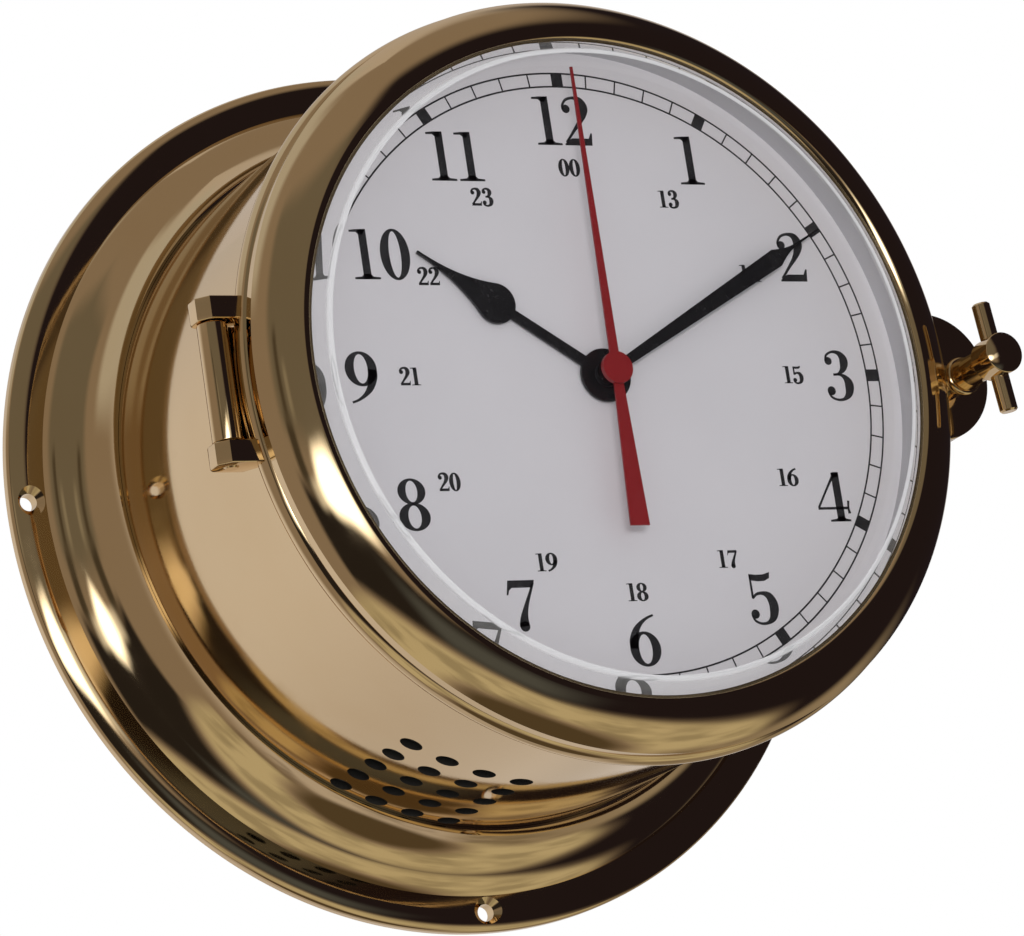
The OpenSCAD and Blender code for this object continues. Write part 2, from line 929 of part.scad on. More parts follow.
module rear_plate() {
    color(steel)
        upright()
            difference() {
                block(plate_low, plate_high, rear_plate_z, rear_plate_z + rear_plate_t);
                train_holes(second_arbor_r + run_gap, rear_plate_z, rear_plate_t);
            }
}

module middle_plate() {
    color(steel)
        upright()
            difference() {
                block(plate_low, plate_high, middle_plate_z, middle_plate_z + middle_plate_t);
                train_holes(minute_pipe_r + run_gap, middle_plate_z, middle_plate_t);
            }
}

module plate_pillars() {
    color(brass)
        upright()
            for (p = pillars)
                at(p)
                    rod(pillar_r, rear_plate_z + rear_plate_t, middle_plate_z);
}

// Motor and battery

board_w = 7;
board_end = 1.5;
board_t = 1;
board_low = [-mv_in + 2 * boss_r + clear_gap, mv_in - board_w];
board_high = [board_end, mv_in - bed_gap];
crystal_r = 1.5;
crystal_len = 8;
core_in = 4.3;       // from the housing's wall to the core
core_w = 2;
core_y = mv_in - core_in;
coil_r = 2.8;
coil_bore_r = 1.2;
coil_low = 10.2;
coil_end = 2.1;      // from the coil to the boss in the corner
coil_high = mv_in - boss_in - boss_r - coil_end;
stator_rim = 1.2;

module circuit_board() {
    color([0.10, 0.35, 0.18])
        upright()
            block(board_low, board_high, stator_z - board_t, stator_z);
}

module quartz_crystal() {
    color(steel)
        upright()
            translate([board_low[0] + board_w / 2, (board_low[1] + board_high[1]) / 2, stator_z + crystal_r + seat_gap])
                rotate([0, 90, 0])
                    cylinder(r = crystal_r, h = crystal_len);
}

module stator() {
    wide = magnet_r + stator_rim;
    color(steel)
        upright()
            difference() {
                union() {
                    block([rotor_at[0] - wide, rotor_at[1] - wide], [rotor_at[0] + wide, core_y + core_w / 2],
                          stator_z, stator_z + wheel_t);
                    block([rotor_at[0], core_y - core_w / 2], [coil_high + core_w / 2, core_y + core_w / 2],
                          stator_z, stator_z + wheel_t);
                }
                at(rotor_at)
                    rod(magnet_r + clear_gap, stator_z - over, stator_z + wheel_t + over);
            }
}

module drive_coil() {
    color([0.72, 0.40, 0.20])
        upright()
            translate([coil_low, core_y, stator_z + wheel_t / 2])
                rotate([0, 90, 0])
                    ring(coil_bore_r, coil_r, 0, coil_high - coil_low);
}

module battery() {
    color([0.20, 0.30, 0.45])
        upright()
            translate([battery_x, bay_y, battery_z])
                rotate([0, 90, 0]) {
                    rod(battery_r, 0, battery_len);
                    rod(nub_r, battery_len, battery_len + nub_len);
                }
}

// Contact plate at one end of the bay, with a boss that meets the battery
module contact(x_plate, x_tip, r) {
    side = sign(x_plate);
    translate([side > 0 ? x_plate - contact_t : x_plate, bay_y - contact_w / 2, battery_z - contact_w / 2])
        cube([contact_t, contact_w, contact_w]);
    translate([min(x_plate, x_tip), bay_y, battery_z])
        rotate([0, 90, 0])
            cylinder(r = r, h = abs(x_plate - x_tip));
}

module plus_contact() {
    color(steel)
        upright()
            contact(mv_in - bed_gap, battery_x + battery_len + nub_len + seat_gap, 2);
}

module minus_contact() {
    color(steel)
        upright()
            contact(-mv_in + bed_gap, battery_x - seat_gap, 3);
}

// Wheels, each on its own arbor

arbor_low = rear_plate_z + bed_gap;
arbor_high = middle_plate_z + middle_plate_t - bed_gap;
inter_pin_phase = mesh_phase(inter_dir, second_n, inter_dir, inter_pin_n);
rotor_phase = mesh_phase(rotor_dir, inter_n, rotor_dir, rotor_n);
third_phase = mesh_phase(third_dir, second_pin_n, third_dir, third_n);
centre_phase = mesh_phase(third_dir + 180, third_pin_n, third_dir + 180, centre_n);
minute_phase = mesh_phase(minute_dir, cannon_n, minute_dir, minute_n);
hour_phase = mesh_phase(minute_dir + 180, minute_pin_n, minute_dir + 180, hour_n);
setting_phase = mesh_phase(setting_dir, minute_n, minute_phase, setting_n);

module motor_rotor() {
    color(steel)
        upright()
            at(rotor_at) {
                rod(arbor_r, arbor_low, arbor_high);
                rod(magnet_r, magnet_z, magnet_z + magnet_t);
                gear(rotor_n, rotor_m, rotor_phase, rotor_pin_z, rotor_pin_t);
            }
}

module intermediate_wheel() {
    color([0.85, 0.85, 0.80])
        upright()
            at(inter_at) {
                rod(arbor_r, arbor_low, arbor_high);
                gear(inter_n, rotor_m, rotor_dir, inter_wheel_z, wheel_t * 0.8);
                gear(inter_pin_n, second_m, inter_pin_phase, inter_pin_z, pinion_t);
            }
}

module seconds_wheel() {
    color(brass)
        upright() {
            rod(second_arbor_r, arbor_low, surround_z + seconds_lift + seconds_t - bed_gap);
            gear(second_n, second_m, inter_dir, second_wheel_z, wheel_t);
            gear(second_pin_n, second_pin_m, third_dir, second_pin_z, pinion_t);
        }
}

module third_wheel() {
    color([0.85, 0.85, 0.80])
        upright()
            at(third_at) {
                rod(arbor_r, arbor_low, arbor_high);
                gear(third_n, second_pin_m, third_phase, third_wheel_z, wheel_t);
                gear(third_pin_n, third_pin_m, third_dir + 180, third_pin_z, pinion_t);
            }
}

module centre_wheel() {
    pipe_top = surround_z + minute_lift + minute_t + clear_gap;
    color(brass)
        upright()
            difference() {
                union() {
                    rod(minute_pipe_r, centre_wheel_z, pipe_top);
                    gear(centre_n, third_pin_m, centre_phase, centre_wheel_z, wheel_t);
                    gear(cannon_n, cannon_m, minute_dir, cannon_z, pinion_t);
                }
                rod(second_arbor_r + run_gap, centre_wheel_z - over, pipe_top + over);
            }
}

module minute_wheel() {
    color([0.85, 0.85, 0.80])
        upright()
            at(minute_at)
                difference() {
                    union() {
                        gear(minute_n, cannon_m, minute_phase, minute_wheel_z, wheel_t);
                        gear(minute_pin_n, minute_pin_m, minute_dir + 180, minute_pin_z - bed_gap, pinion_t);
                    }
                    rod(post_r + run_gap, minute_wheel_z - over, minute_pin_z + pinion_t + over);
                }
}

module hour_wheel() {
    pipe_top = surround_z + hour_lift + hour_t + 2 * bed_gap;
    color(brass)
        upright()
            difference() {
                union() {
                    rod(hour_pipe_r, hour_wheel_z, pipe_top);
                    gear(hour_n, minute_pin_m, hour_phase, hour_wheel_z, wheel_t);
                }
                rod(minute_pipe_r + run_gap, hour_wheel_z - over, pipe_top + over);
            }
}

module setting_knob() {
    back = mv_back - mv_wall - clear_gap;
    color([0.85, 0.85, 0.80])
        upright()
            at(setting_at) {
                rod(setting_arbor_r, back - over, setting_gear_z + pinion_t);
                gear(setting_n, cannon_m, setting_phase, setting_gear_z, wheel_t + 2 * bed_gap);
                rod(setting_knob_r, back - setting_knob_t, back);
            }
}

flange();
case_drum();
hinge_knuckle();
latch_keeper();
dial_seat();
dial_plate();
dial_screws();
dial_studs();
stud_nuts();
dial_surround();
movement_housing();
movement_cover();
cover_screws();
centre_bush();
movement_washer();
rear_plate();
middle_plate();
plate_pillars();
circuit_board();
quartz_crystal();
drive_coil();
stator();
battery();
plus_contact();
minus_contact();
motor_rotor();
intermediate_wheel();
seconds_wheel();
third_wheel();
centre_wheel();
minute_wheel();
hour_wheel();
setting_knob();
hour_hand();
minute_hand();
seconds_hand();
bezel();
hinge_lugs();
hinge_pin();
glass();
glass_gasket();
glass_retainer();
bezel_seal();
latch_lug();
latch_washer();
latch_screw();
latch_knob();
latch_bar();
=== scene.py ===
import bpy
import bmesh
import numpy as np
from math import acos, atan2, cos, degrees, pi, radians, sin, sqrt, tan
from mathutils import Matrix, Vector


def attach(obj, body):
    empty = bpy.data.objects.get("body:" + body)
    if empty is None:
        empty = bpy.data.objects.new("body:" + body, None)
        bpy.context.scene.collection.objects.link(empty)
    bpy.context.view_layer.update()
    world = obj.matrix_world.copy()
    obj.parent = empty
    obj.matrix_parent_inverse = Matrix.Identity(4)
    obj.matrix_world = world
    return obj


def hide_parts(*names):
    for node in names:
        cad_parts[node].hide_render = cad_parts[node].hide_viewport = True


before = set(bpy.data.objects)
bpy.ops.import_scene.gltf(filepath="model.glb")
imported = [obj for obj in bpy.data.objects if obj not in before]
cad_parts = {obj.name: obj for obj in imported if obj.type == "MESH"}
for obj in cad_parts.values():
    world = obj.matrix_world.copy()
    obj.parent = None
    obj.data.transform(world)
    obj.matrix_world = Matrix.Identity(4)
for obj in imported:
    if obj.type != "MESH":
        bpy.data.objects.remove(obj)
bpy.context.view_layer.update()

from types import SimpleNamespace

scene = bpy.context.scene
scene.view_settings.view_transform = "Standard"
mm = 0.001
weld = 1e-7  # metres
turnedSharp, plateSharp = radians(30), radians(28)  # sharper edges stay crisp
rowTurn = Matrix(((1, 0, 0, 0), (0, 0, -1, 0), (0, 1, 0, 0), (0, 0, 0, 1)))  # clock's z, out, to the row's -Y


def named(values):  # a piece's dictionary, its sizes read by name
    return SimpleNamespace(**values)


class Wire:  # a socket in a node tree; arithmetic on it adds Math nodes
    def __init__(self, tree, socket=None):
        self.tree, self.socket = tree, socket

    def make(self, kind, values=None, settings=None, out=0):
        node = self.tree.nodes.new(kind)
        for key, value in (settings or {}).items():
            setattr(node, key, value)
        for key, value in (values or {}).items():
            if isinstance(key, int):
                socket = node.inputs[key]
            else:  # by identifier, or else by name
                found = [s for s in node.inputs if s.identifier == key]
                socket = (found or [s for s in node.inputs if s.name == key])[0]
            for item in value if isinstance(value, list) else [value]:
                if isinstance(item, Wire):
                    self.tree.links.new(item.socket, socket)
                else:
                    socket.default_value = item
        return Wire(self.tree, node.outputs[out])

    def pick(self, name):  # another output of the same node
        return Wire(self.tree, self.socket.node.outputs[name])

    def math(self, operation, *others):
        return self.make("ShaderNodeMath", dict(enumerate((self, *others))), {"operation": operation})

    def turned(self, operation, first):
        return self.make("ShaderNodeMath", {0: first, 1: self}, {"operation": operation})

    def __add__(self, other):
        return self.math("ADD", other)

    def __radd__(self, other):
        return self.turned("ADD", other)

    def __sub__(self, other):
        return self.math("SUBTRACT", other)

    def __rsub__(self, other):
        return self.turned("SUBTRACT", other)

    def __mul__(self, other):
        return self.math("MULTIPLY", other)

    def __rmul__(self, other):
        return self.turned("MULTIPLY", other)

    def __truediv__(self, other):
        return self.math("DIVIDE", other)

    def __rtruediv__(self, other):
        return self.turned("DIVIDE", other)

    def rise(self, low, high):  # 0 below low, 1 above high, smooth between
        return self.make("ShaderNodeMapRange", {"Value": self, "From Min": low, "From Max": high},
                         {"interpolation_type": "SMOOTHSTEP"})

    def within(self, low, high, soft):
        return self.rise(low - soft, low + soft) * (1 - self.rise(high - soft, high + soft))

    def blend(self, first, second):  # colours mixed by this value
        return self.make("ShaderNodeMix", {"Factor_Float": self, "A_Color": first, "B_Color": second},
                         {"data_type": "RGBA"}, out=2)

    def vector(self, x=0.0, y=0.0, z=0.0):
        return self.make("ShaderNodeCombineXYZ", {0: x, 1: y, 2: z})


camera = {"at": (-0.46226, -0.87537, -0.25291), "right": (0.88306, -0.44574, -0.14671),
          "up": (0.01241, -0.29035, 0.95684), "lens": 177.07, "sensor": 36.0, "clip": (0.05, 50)}


def makeCamera(c):
    data = bpy.data.cameras.new("camera")
    data.sensor_fit, data.sensor_width, data.lens = "HORIZONTAL", c.sensor, c.lens
    data.clip_start, data.clip_end = c.clip
    eye = bpy.data.objects.new("camera", data)
    right, up = Vector(c.right).normalized(), Vector(c.up)
    back = right.cross(up).normalized()
    up = back.cross(right)
    eye.matrix_world = Matrix.Translation(c.at) @ Matrix((right, up, back)).transposed().to_4x4()
    scene.collection.objects.link(eye)
    scene.camera = eye


makeCamera(named(camera))

white = (1, 1, 1, 1)


def startMaterial(name):
    material = bpy.data.materials.new(name)
    material.use_nodes = True
    material.node_tree.nodes.clear()
    return material, Wire(material.node_tree)


def endMaterial(g, shader):
    node = g.tree.nodes.new("ShaderNodeOutputMaterial")
    g.tree.links.new(shader.socket, node.inputs["Surface"])


def noiseOf(g, where, scale, detail=2.0, roughness=0.5):
    return g.make("ShaderNodeTexNoise",
                  {"Vector": where, "Scale": scale, "Detail": detail, "Roughness": roughness})


def lineNoise(g, along, scale, detail=2.0):
    return g.make("ShaderNodeTexNoise", {"W": along, "Scale": scale, "Detail": detail},
                  {"noise_dimensions": "1D"})


def axisOf(g, spot):  # distance from the clock's axis, and place along it
    part = g.make("ShaderNodeSeparateXYZ", {0: spot})
    x, z = part, part.pick("Z")
    return (x * x + z * z).math("SQRT"), part.pick("Y")


def colour(rgb):
    return (*rgb, 1.0)


brassLook = {"colour": (0.85, 0.65, 0.39), "deep": (0.79, 0.57, 0.31), "deepShare": 0.35, "clouds": 34.0,
             "cloudDetail": 3.0, "cloudEdge": (0.42, 0.8), "roughness": 0.045, "smudge": 0.05,
             "smears": 110.0, "smearEdge": (0.52, 0.78), "lines": 0.02, "turnings": 4200.0,
             "turnLean": 0.7, "bump": 0.006, "bumpDeep": 0.0002, "lacquer": 0.08, "lacquerRough": 0.03}


def brassFinish(name, look):  # polished and lacquered, with faint marks of the lathe
    material, g = startMaterial(name)
    spot = g.make("ShaderNodeTexCoord", out=3)
    radius, along = axisOf(g, spot)
    turning = lineNoise(g, radius + along * look.turnLean, look.turnings)
    cloud = noiseOf(g, spot, look.clouds, look.cloudDetail)
    smear = noiseOf(g, spot, look.smears).rise(*look.smearEdge)
    tone = cloud.rise(*look.cloudEdge) * look.deepShare
    base = tone.blend(colour(look.colour), colour(look.deep))
    rough = look.roughness + smear * look.smudge + turning * look.lines
    bump = g.make("ShaderNodeBump", {"Height": turning, "Strength": look.bump, "Distance": look.bumpDeep})
    shader = g.make("ShaderNodeBsdfPrincipled",
                    {"Base Color": base, "Metallic": 1.0, "Roughness": rough, "Normal": bump,
                     "Coat Weight": look.lacquer, "Coat Roughness": look.lacquerRough})
    endMaterial(g, shader)
    return material


plainLook = {"detail": 4.0, "edge": (0.3, 0.7), "finer": 9, "bumpDeep": 0.0001, "coatRough": 0.08}


def plainFinish(name, rgb, other, scale, rough, grain=0.0, metal=0.0, bump=0.0, coat=0.0):
    look = named(plainLook)
    material, g = startMaterial(name)
    spot = g.make("ShaderNodeTexCoord", out=3)
    cloud = noiseOf(g, spot, scale, look.detail)
    base = cloud.rise(*look.edge).blend(colour(rgb), colour(other))
    fine = noiseOf(g, spot, scale * look.finer)
    values = {"Base Color": base, "Roughness": rough + fine * grain, "Metallic": metal,
              "Coat Weight": coat, "Coat Roughness": look.coatRough}
    if bump:
        values["Normal"] = g.make("ShaderNodeBump",
                                  {"Height": fine, "Strength": bump, "Distance": look.bumpDeep})
    endMaterial(g, g.make("ShaderNodeBsdfPrincipled", values))
    return material


brushedLook = {"colour": (0.62, 0.62, 0.63), "other": (0.55, 0.55, 0.56), "roughness": 0.34, "lines": 5200.0,
               "lineDetail": 3.0, "lineEdge": (0.3, 0.7), "lineRough": 0.08, "bump": 0.05,
               "bumpDeep": 0.0002}


def brushedFinish(name, look):  # satin metal brushed round the clock's axis
    material, g = startMaterial(name)
    radius, along = axisOf(g, g.make("ShaderNodeTexCoord", out=3))
    hair = lineNoise(g, radius + along, look.lines, look.lineDetail)
    base = hair.rise(*look.lineEdge).blend(colour(look.colour), colour(look.other))
    bump = g.make("ShaderNodeBump", {"Height": hair, "Strength": look.bump, "Distance": look.bumpDeep})
    shader = g.make("ShaderNodeBsdfPrincipled",
                    {"Base Color": base, "Metallic": 1.0, "Roughness": look.roughness + hair * look.lineRough,
                     "Normal": bump})
    endMaterial(g, shader)
    return material


glassLook = {"colour": (0.985, 0.985, 0.99), "clear": (0.998, 0.996, 1.0), "tints": 25.0,
             "tintEdge": (0.35, 0.75), "ior": 1.525, "shadow": (0.96, 0.955, 0.965),
             "bloom": (0.90, 0.90, 0.92), "cloud": 0.12, "clouds": 90.0, "edge": 0.0617,
             "edgeHalf": 0.0009, "edgeFull": 0.3, "edgeHaze": 0.6}


def glassFinish(name, look, haze=0.0):  # lamps shine straight through; the eye sees true refraction
    material, g = startMaterial(name)
    spot = g.make("ShaderNodeTexCoord", out=3)
    shade = noiseOf(g, spot, look.tints).rise(*look.tintEdge)
    tint = shade.blend(colour(look.clear), colour(look.colour))
    body = g.make("ShaderNodeBsdfPrincipled",
                  {"Base Color": tint, "Roughness": 0.0, "IOR": look.ior, "Transmission Weight": 1.0})
    clear = g.make("ShaderNodeBsdfTransparent", {"Color": colour(look.shadow)})
    path = g.make("ShaderNodeLightPath")
    passing = path.pick("Is Shadow Ray").math("MAXIMUM", path.pick("Is Diffuse Ray"))
    if haze:  # a ground face scatters part of the light; the pale band along its inner edge is a painted highlight
        bloom = g.make("ShaderNodeBsdfDiffuse", {"Color": colour(look.bloom)})
        cloud = (noiseOf(g, spot, look.clouds) - 0.5) * look.cloud
        # painted highlight: a pale band along the bevel's inner edge
        off = (axisOf(g, spot)[0] - look.edge).math("ABSOLUTE")
        edgeHighlight = (1 - off.rise(look.edgeHalf * look.edgeFull, look.edgeHalf)) * look.edgeHaze
        body = g.make("ShaderNodeMixShader", {0: haze + cloud + edgeHighlight, 1: body, 2: bloom})
    endMaterial(g, g.make("ShaderNodeMixShader", {0: passing, 1: body, 2: clear}))
    return material


finish = {  # plain ones: two colours, scale of the clouds, roughness, grain
    "brass": brassFinish("polishedBrass", named(brassLook)),
    "dial": plainFinish("dialEnamel", (0.80, 0.785, 0.81), (0.82, 0.805, 0.83), 40, 0.42, 0.08, bump=0.02),
    "ink": plainFinish("printInk", (0.012, 0.012, 0.014), (0.020, 0.020, 0.022), 300, 0.45, 0.1),
    "handBlack": plainFinish("handLacquer", (0.010, 0.010, 0.011), (0.016, 0.016, 0.017), 120, 0.24, 0.05),
    "handRed": plainFinish("handRed", (0.29, 0.014, 0.017), (0.27, 0.012, 0.014), 120, 0.30, 0.06),
    "glass": glassFinish("dialGlass", named(glassLook)),
    "bevel": glassFinish("groundBevelEdgeHighlight", named(glassLook), haze=0.12),
    "steel": plainFinish("nickelledSteel", (0.60, 0.59, 0.57), (0.52, 0.51, 0.49), 220, 0.22, 0.1, metal=1.0),
    "satin": brushedFinish("satinRing", named(brushedLook)),
    "rubber": plainFinish("rubber", (0.018, 0.018, 0.019), (0.028, 0.028, 0.029), 150, 0.72, 0.1, bump=0.08),
    "felt": plainFinish("felt", (0.045, 0.040, 0.036), (0.075, 0.068, 0.06), 900, 0.95, 0.05, bump=0.5),
    "blackPlastic": plainFinish("movementPlastic", (0.016, 0.016, 0.018), (0.024, 0.024, 0.026), 180, 0.46,
                                0.12, bump=0.05),
    "whitePlastic": plainFinish("wheelPlastic", (0.70, 0.70, 0.66), (0.76, 0.76, 0.72), 160, 0.40, 0.08),
    "board": plainFinish("circuitBoard", (0.020, 0.11, 0.055), (0.030, 0.15, 0.075), 260, 0.42, 0.1),
    "copper": plainFinish("coilCopper", (0.62, 0.24, 0.11), (0.72, 0.32, 0.16), 600, 0.34, 0.1, metal=1.0),
    "cell": plainFinish("cellJacket", (0.05, 0.09, 0.16), (0.065, 0.11, 0.19), 90, 0.30, 0.08, coat=0.4),
    # near-black inside of the case and its hole walls: painted shade, so the sound holes show dark
    "inside": plainFinish("caseInsideShade", (0.012, 0.011, 0.010), (0.022, 0.020, 0.017), 60, 0.7, 0.1,
                          bump=0.05),
}
print("finishes:", len(finish))


def newObject(name, mesh):
    piece = bpy.data.objects.new(name, mesh)
    scene.collection.objects.link(piece)
    return piece


def settle(piece, body, slot, look, *replaced):
    if look:
        piece.data.materials.clear()
        piece.data.materials.append(finish[look])
    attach(piece, body)
    if replaced:
        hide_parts(*replaced)


def settleBrass(piece, body, node):
    settle(piece, body, "brass", "brass", node)


def mergeMesh(mesh):  # doubles merged, faces turned outward
    bm = bmesh.new()
    bm.from_mesh(mesh)
    bmesh.ops.remove_doubles(bm, verts=bm.verts, dist=weld)
    bmesh.ops.recalc_face_normals(bm, faces=bm.faces)
    bm.to_mesh(mesh)
    bm.free()


def readOff(items, name, wide=1, kind=float):  # one property of a mesh's parts as an array
    values = np.empty(len(items) * wide, kind)
    items.foreach_get(name, values)
    return values.reshape(-1, wide) if wide > 1 else values


def plainMesh(piece):  # the modifiers' result as the piece's own mesh
    bpy.context.view_layer.update()
    graph = bpy.context.evaluated_depsgraph_get()
    mesh = bpy.data.meshes.new_from_object(piece.evaluated_get(graph), preserve_all_data_layers=True,
                                           depsgraph=graph)
    piece.modifiers.clear()
    piece.data = mesh
    return piece


# closed outline of short chords with the true normal at both ends; a step is a point (r, z)
# or ("arc", centre, radius, from, to, chords)
def section(*steps):
    ends = []
    for step in steps:
        if step[0] == "arc":
            _, centre, size, first, last, count = step
            a, b = size if isinstance(size, tuple) else (size, size)
            for i in range(count + 1):
                t = radians(first + (last - first) * i / count)
                n = Vector((cos(t) / a, sin(t) / b)).normalized()
                ends.append((centre[0] + a * cos(t), centre[1] + b * sin(t), n, i > 0, i < count))
        else:
            ends.append((*step, None, False, False))
    pairs = list(zip(ends, ends[1:] + ends[:1]))
    way = 1 if sum(p[0] * q[1] - q[0] * p[1] for p, q in pairs) > 0 else -1
    chords = []
    for p, q in pairs:
        step = Vector((q[0] - p[0], q[1] - p[1]))
        if step.length < 1e-9:
            continue
        flat = Vector((step.y, -step.x)).normalized() * way
        normals = (p[2], q[2]) if p[4] and q[3] else (flat, flat)  # one arc holds both ends
        out = [v for n in normals for v in (n if n.dot(flat) > 0 else -n)]
        chords.append((p[0], p[1], q[0], q[1], *out))
    return np.array(chords), way


def lathe(name, profile, count, axis=None):  # a turned piece with its place in its mesh
    chords, way = profile
    m = len(chords)
    angle = np.arange(count) * 2 * np.pi / count
    r, z = chords[:, 0], chords[:, 1]
    spots = np.stack([np.outer(np.cos(angle), r), np.outer(np.sin(angle), r), np.tile(z, (count, 1))], -1)
    spots = spots.reshape(-1, 3)
    faces = []
    for i in range(count):
        a, b = i * m, (i + 1) % count * m
        for j in range(m):
            k = (j + 1) % m
            faces.append((a + j, a + k, b + k, b + j) if way < 0 else (a + j, b + j, b + k, a + k))
    mesh = bpy.data.meshes.new(name)
    mesh.from_pydata([tuple(p * mm) for p in spots], [], faces)
    mergeMesh(mesh)
    mesh.transform(rowTurn @ (axis or Matrix()))
    mesh.shade_smooth()
    return newObject(name, mesh)


# true normals wherever the outline holds: near it, and facing as it does
def polish(piece, profile, axis=None, reach=0.02, turnCost=0.3, sameWay=0.85):
    chords, _ = profile
    mesh = piece.data
    mesh.set_sharp_from_angle(angle=turnedSharp)
    back = np.array((rowTurn @ (axis or Matrix())).inverted())
    count = len(mesh.loops)
    corner = readOff(mesh.loops, "vertex_index", kind=np.int64)
    total = readOff(mesh.polygons, "loop_total", kind=np.int64)
    local = (readOff(mesh.vertices, "co", 3) @ back[:3, :3].T + back[:3, 3]) / mm
    middle = readOff(mesh.polygons, "center", 3) @ back[:3, :3].T + back[:3, 3]
    facing = readOff(mesh.polygons, "normal", 3) @ back[:3, :3].T
    out = middle[:, :2] / np.maximum(np.linalg.norm(middle[:, :2], axis=1, keepdims=True), 1e-9)
    faceR, faceZ = np.sum(facing[:, :2] * out, axis=1), facing[:, 2]
    owner = np.repeat(np.arange(len(total)), total)
    p = local[corner]
    r = np.linalg.norm(p[:, :2], axis=1)
    best = np.full(count, 9e9)
    normal = np.zeros((count, 2))
    for r0, z0, r1, z1, a0, b0, a1, b1 in chords:
        dr, dz = r1 - r0, z1 - z0
        t = np.clip(((r - r0) * dr + (p[:, 2] - z0) * dz) / (dr * dr + dz * dz), 0, 1)
        gap = np.hypot(r - r0 - t * dr, p[:, 2] - z0 - t * dz)
        nr, nz = a0 + (a1 - a0) * t, b0 + (b1 - b0) * t
        size = np.hypot(nr, nz)
        same = (nr * faceR[owner] + nz * faceZ[owner]) / size
        cost = gap + turnCost * (1 - same)
        take = (cost < best) & (gap < reach) & (same > sameWay)
        best[take] = cost[take]
        normal[take] = np.stack([nr / size, nz / size], 1)[take]
    radial = np.where(r[:, None] > 1e-6, p[:, :2] / np.maximum(r[:, None], 1e-6), out[owner])
    true = np.concatenate([radial * normal[:, :1], normal[:, 1:]], 1)
    turn = np.array(rowTurn @ (axis or Matrix()))[:3, :3]
    mesh.normals_split_custom_set((true @ turn.T).tolist())
    return piece


def rodSection(radius, half, edge):
    return section((0, -half), (radius - edge, -half), (radius, -half + edge), (radius, half - edge),
                   (radius - edge, half), (0, half))


def turnedPiece(name, profile, count, axis=None):
    return polish(lathe(name, profile, count, axis), profile, axis)


def plate(name, loops, low, high, chamfer, axis=None):  # outlines cut from sheet, with a fine edge
    data = bpy.data.curves.new(name, "CURVE")
    data.dimensions, data.fill_mode = "2D", "BOTH"
    data.extrude, data.bevel_depth = ((high - low) / 2 - chamfer) * mm, chamfer * mm
    data.offset, data.bevel_resolution = -chamfer * mm, 2
    for loop in loops:
        line = data.splines.new("POLY")
        line.points.add(len(loop) - 1)
        for point, (x, y) in zip(line.points, loop):
            point.co = (x * mm, y * mm, 0, 1)
        line.use_cyclic_u = True
    shape = newObject(name, data)
    bpy.context.view_layer.update()
    mesh = bpy.data.meshes.new_from_object(shape.evaluated_get(bpy.context.evaluated_depsgraph_get()))
    bpy.data.objects.remove(shape)
    bpy.data.curves.remove(data)
    mergeMesh(mesh)
    mesh.transform(rowTurn @ (axis or Matrix()) @ Matrix.Translation((0, 0, (low + high) / 2 * mm)))
    mesh.shade_smooth()
    mesh.set_sharp_from_angle(angle=plateSharp)
    return newObject(name, mesh)


def arcPoints(centre, radius, first, last, count):
    turns = [radians(first + (last - first) * i / count) for i in range(count + 1)]
    return [(centre[0] + radius * cos(t), centre[1] + radius * sin(t)) for t in turns]


def nodeTree(name, inputs):  # a Geometry Nodes tree: its wire, its named inputs and their ids
    tree = bpy.data.node_groups.new(name, "GeometryNodeTree")
    tree.interface.new_socket("Geometry", in_out="INPUT", socket_type="NodeSocketGeometry")
    ids = {}
    for label, value in inputs.items():
        kind = "NodeSocketInt" if isinstance(value, int) else "NodeSocketFloat"
        if isinstance(value, bpy.types.Material):
            kind = "NodeSocketMaterial"
        socket = tree.interface.new_socket(label, in_out="INPUT", socket_type=kind)
        ids[label] = socket.identifier
    tree.interface.new_socket("Geometry", in_out="OUTPUT", socket_type="NodeSocketGeometry")
    g = Wire(tree)
    start = g.make("NodeGroupInput")
    return g, {"Geometry": start, **{label: start.pick(label) for label in inputs}}, ids


def endTree(g, geometry):
    node = g.tree.nodes.new("NodeGroupOutput")
    g.tree.links.new(geometry.socket, node.inputs[0])


def drilled(g, given, count, place, drill, way):  # the piece with a drill taken out at each place
    spots = g.make("GeometryNodePoints", {"Count": count, "Position": place})
    turn = g.make("FunctionNodeAlignRotationToVector", {"Vector": way}, {"axis": "Z"})
    drills = g.make("GeometryNodeInstanceOnPoints", {"Points": spots, "Instance": drill, "Rotation": turn})
    drills = g.make("GeometryNodeRealizeInstances", {"Geometry": drills})
    cut = g.make("GeometryNodeMeshBoolean", {"Mesh 1": given["Geometry"], "Mesh 2": drills},
                 {"operation": "DIFFERENCE", "solver": "EXACT"})
    return g.make("GeometryNodeSetMaterial", {"Geometry": cut, "Material": given["Material"]})


def grow(piece, g, ids, values):  # runs the tree on the piece and keeps the plain mesh
    modifier = piece.modifiers.new(g.tree.name, "NODES")
    modifier.node_group = g.tree
    for label, value in values.items():
        modifier[ids[label]] = value
    return plainMesh(piece)


flange = {"segments": 288, "bore": 66.0, "rimR": 90.0, "ledge": 4.0, "crownR": 85.7, "rimRound": 1.3,
          "rimTurn": 55.0, "dish": 4.0, "footR": 83.0, "meetR": 79.4, "lipR": 72.55, "footSlope": 50.0,
          "meetSlope": 28.5, "lipSlope": 78.0, "screwCircle": 86.2, "screws": 4, "hole": 1.75,
          "sinkR": 3.0, "sinkDeep": 1.25, "backEdge": 0.6, "neckR": 72.05, "inside": 3.0,
          "drillSides": 64, "drillLong": 4, "sinkOver": 0.4, "sinkTip": 0.999}


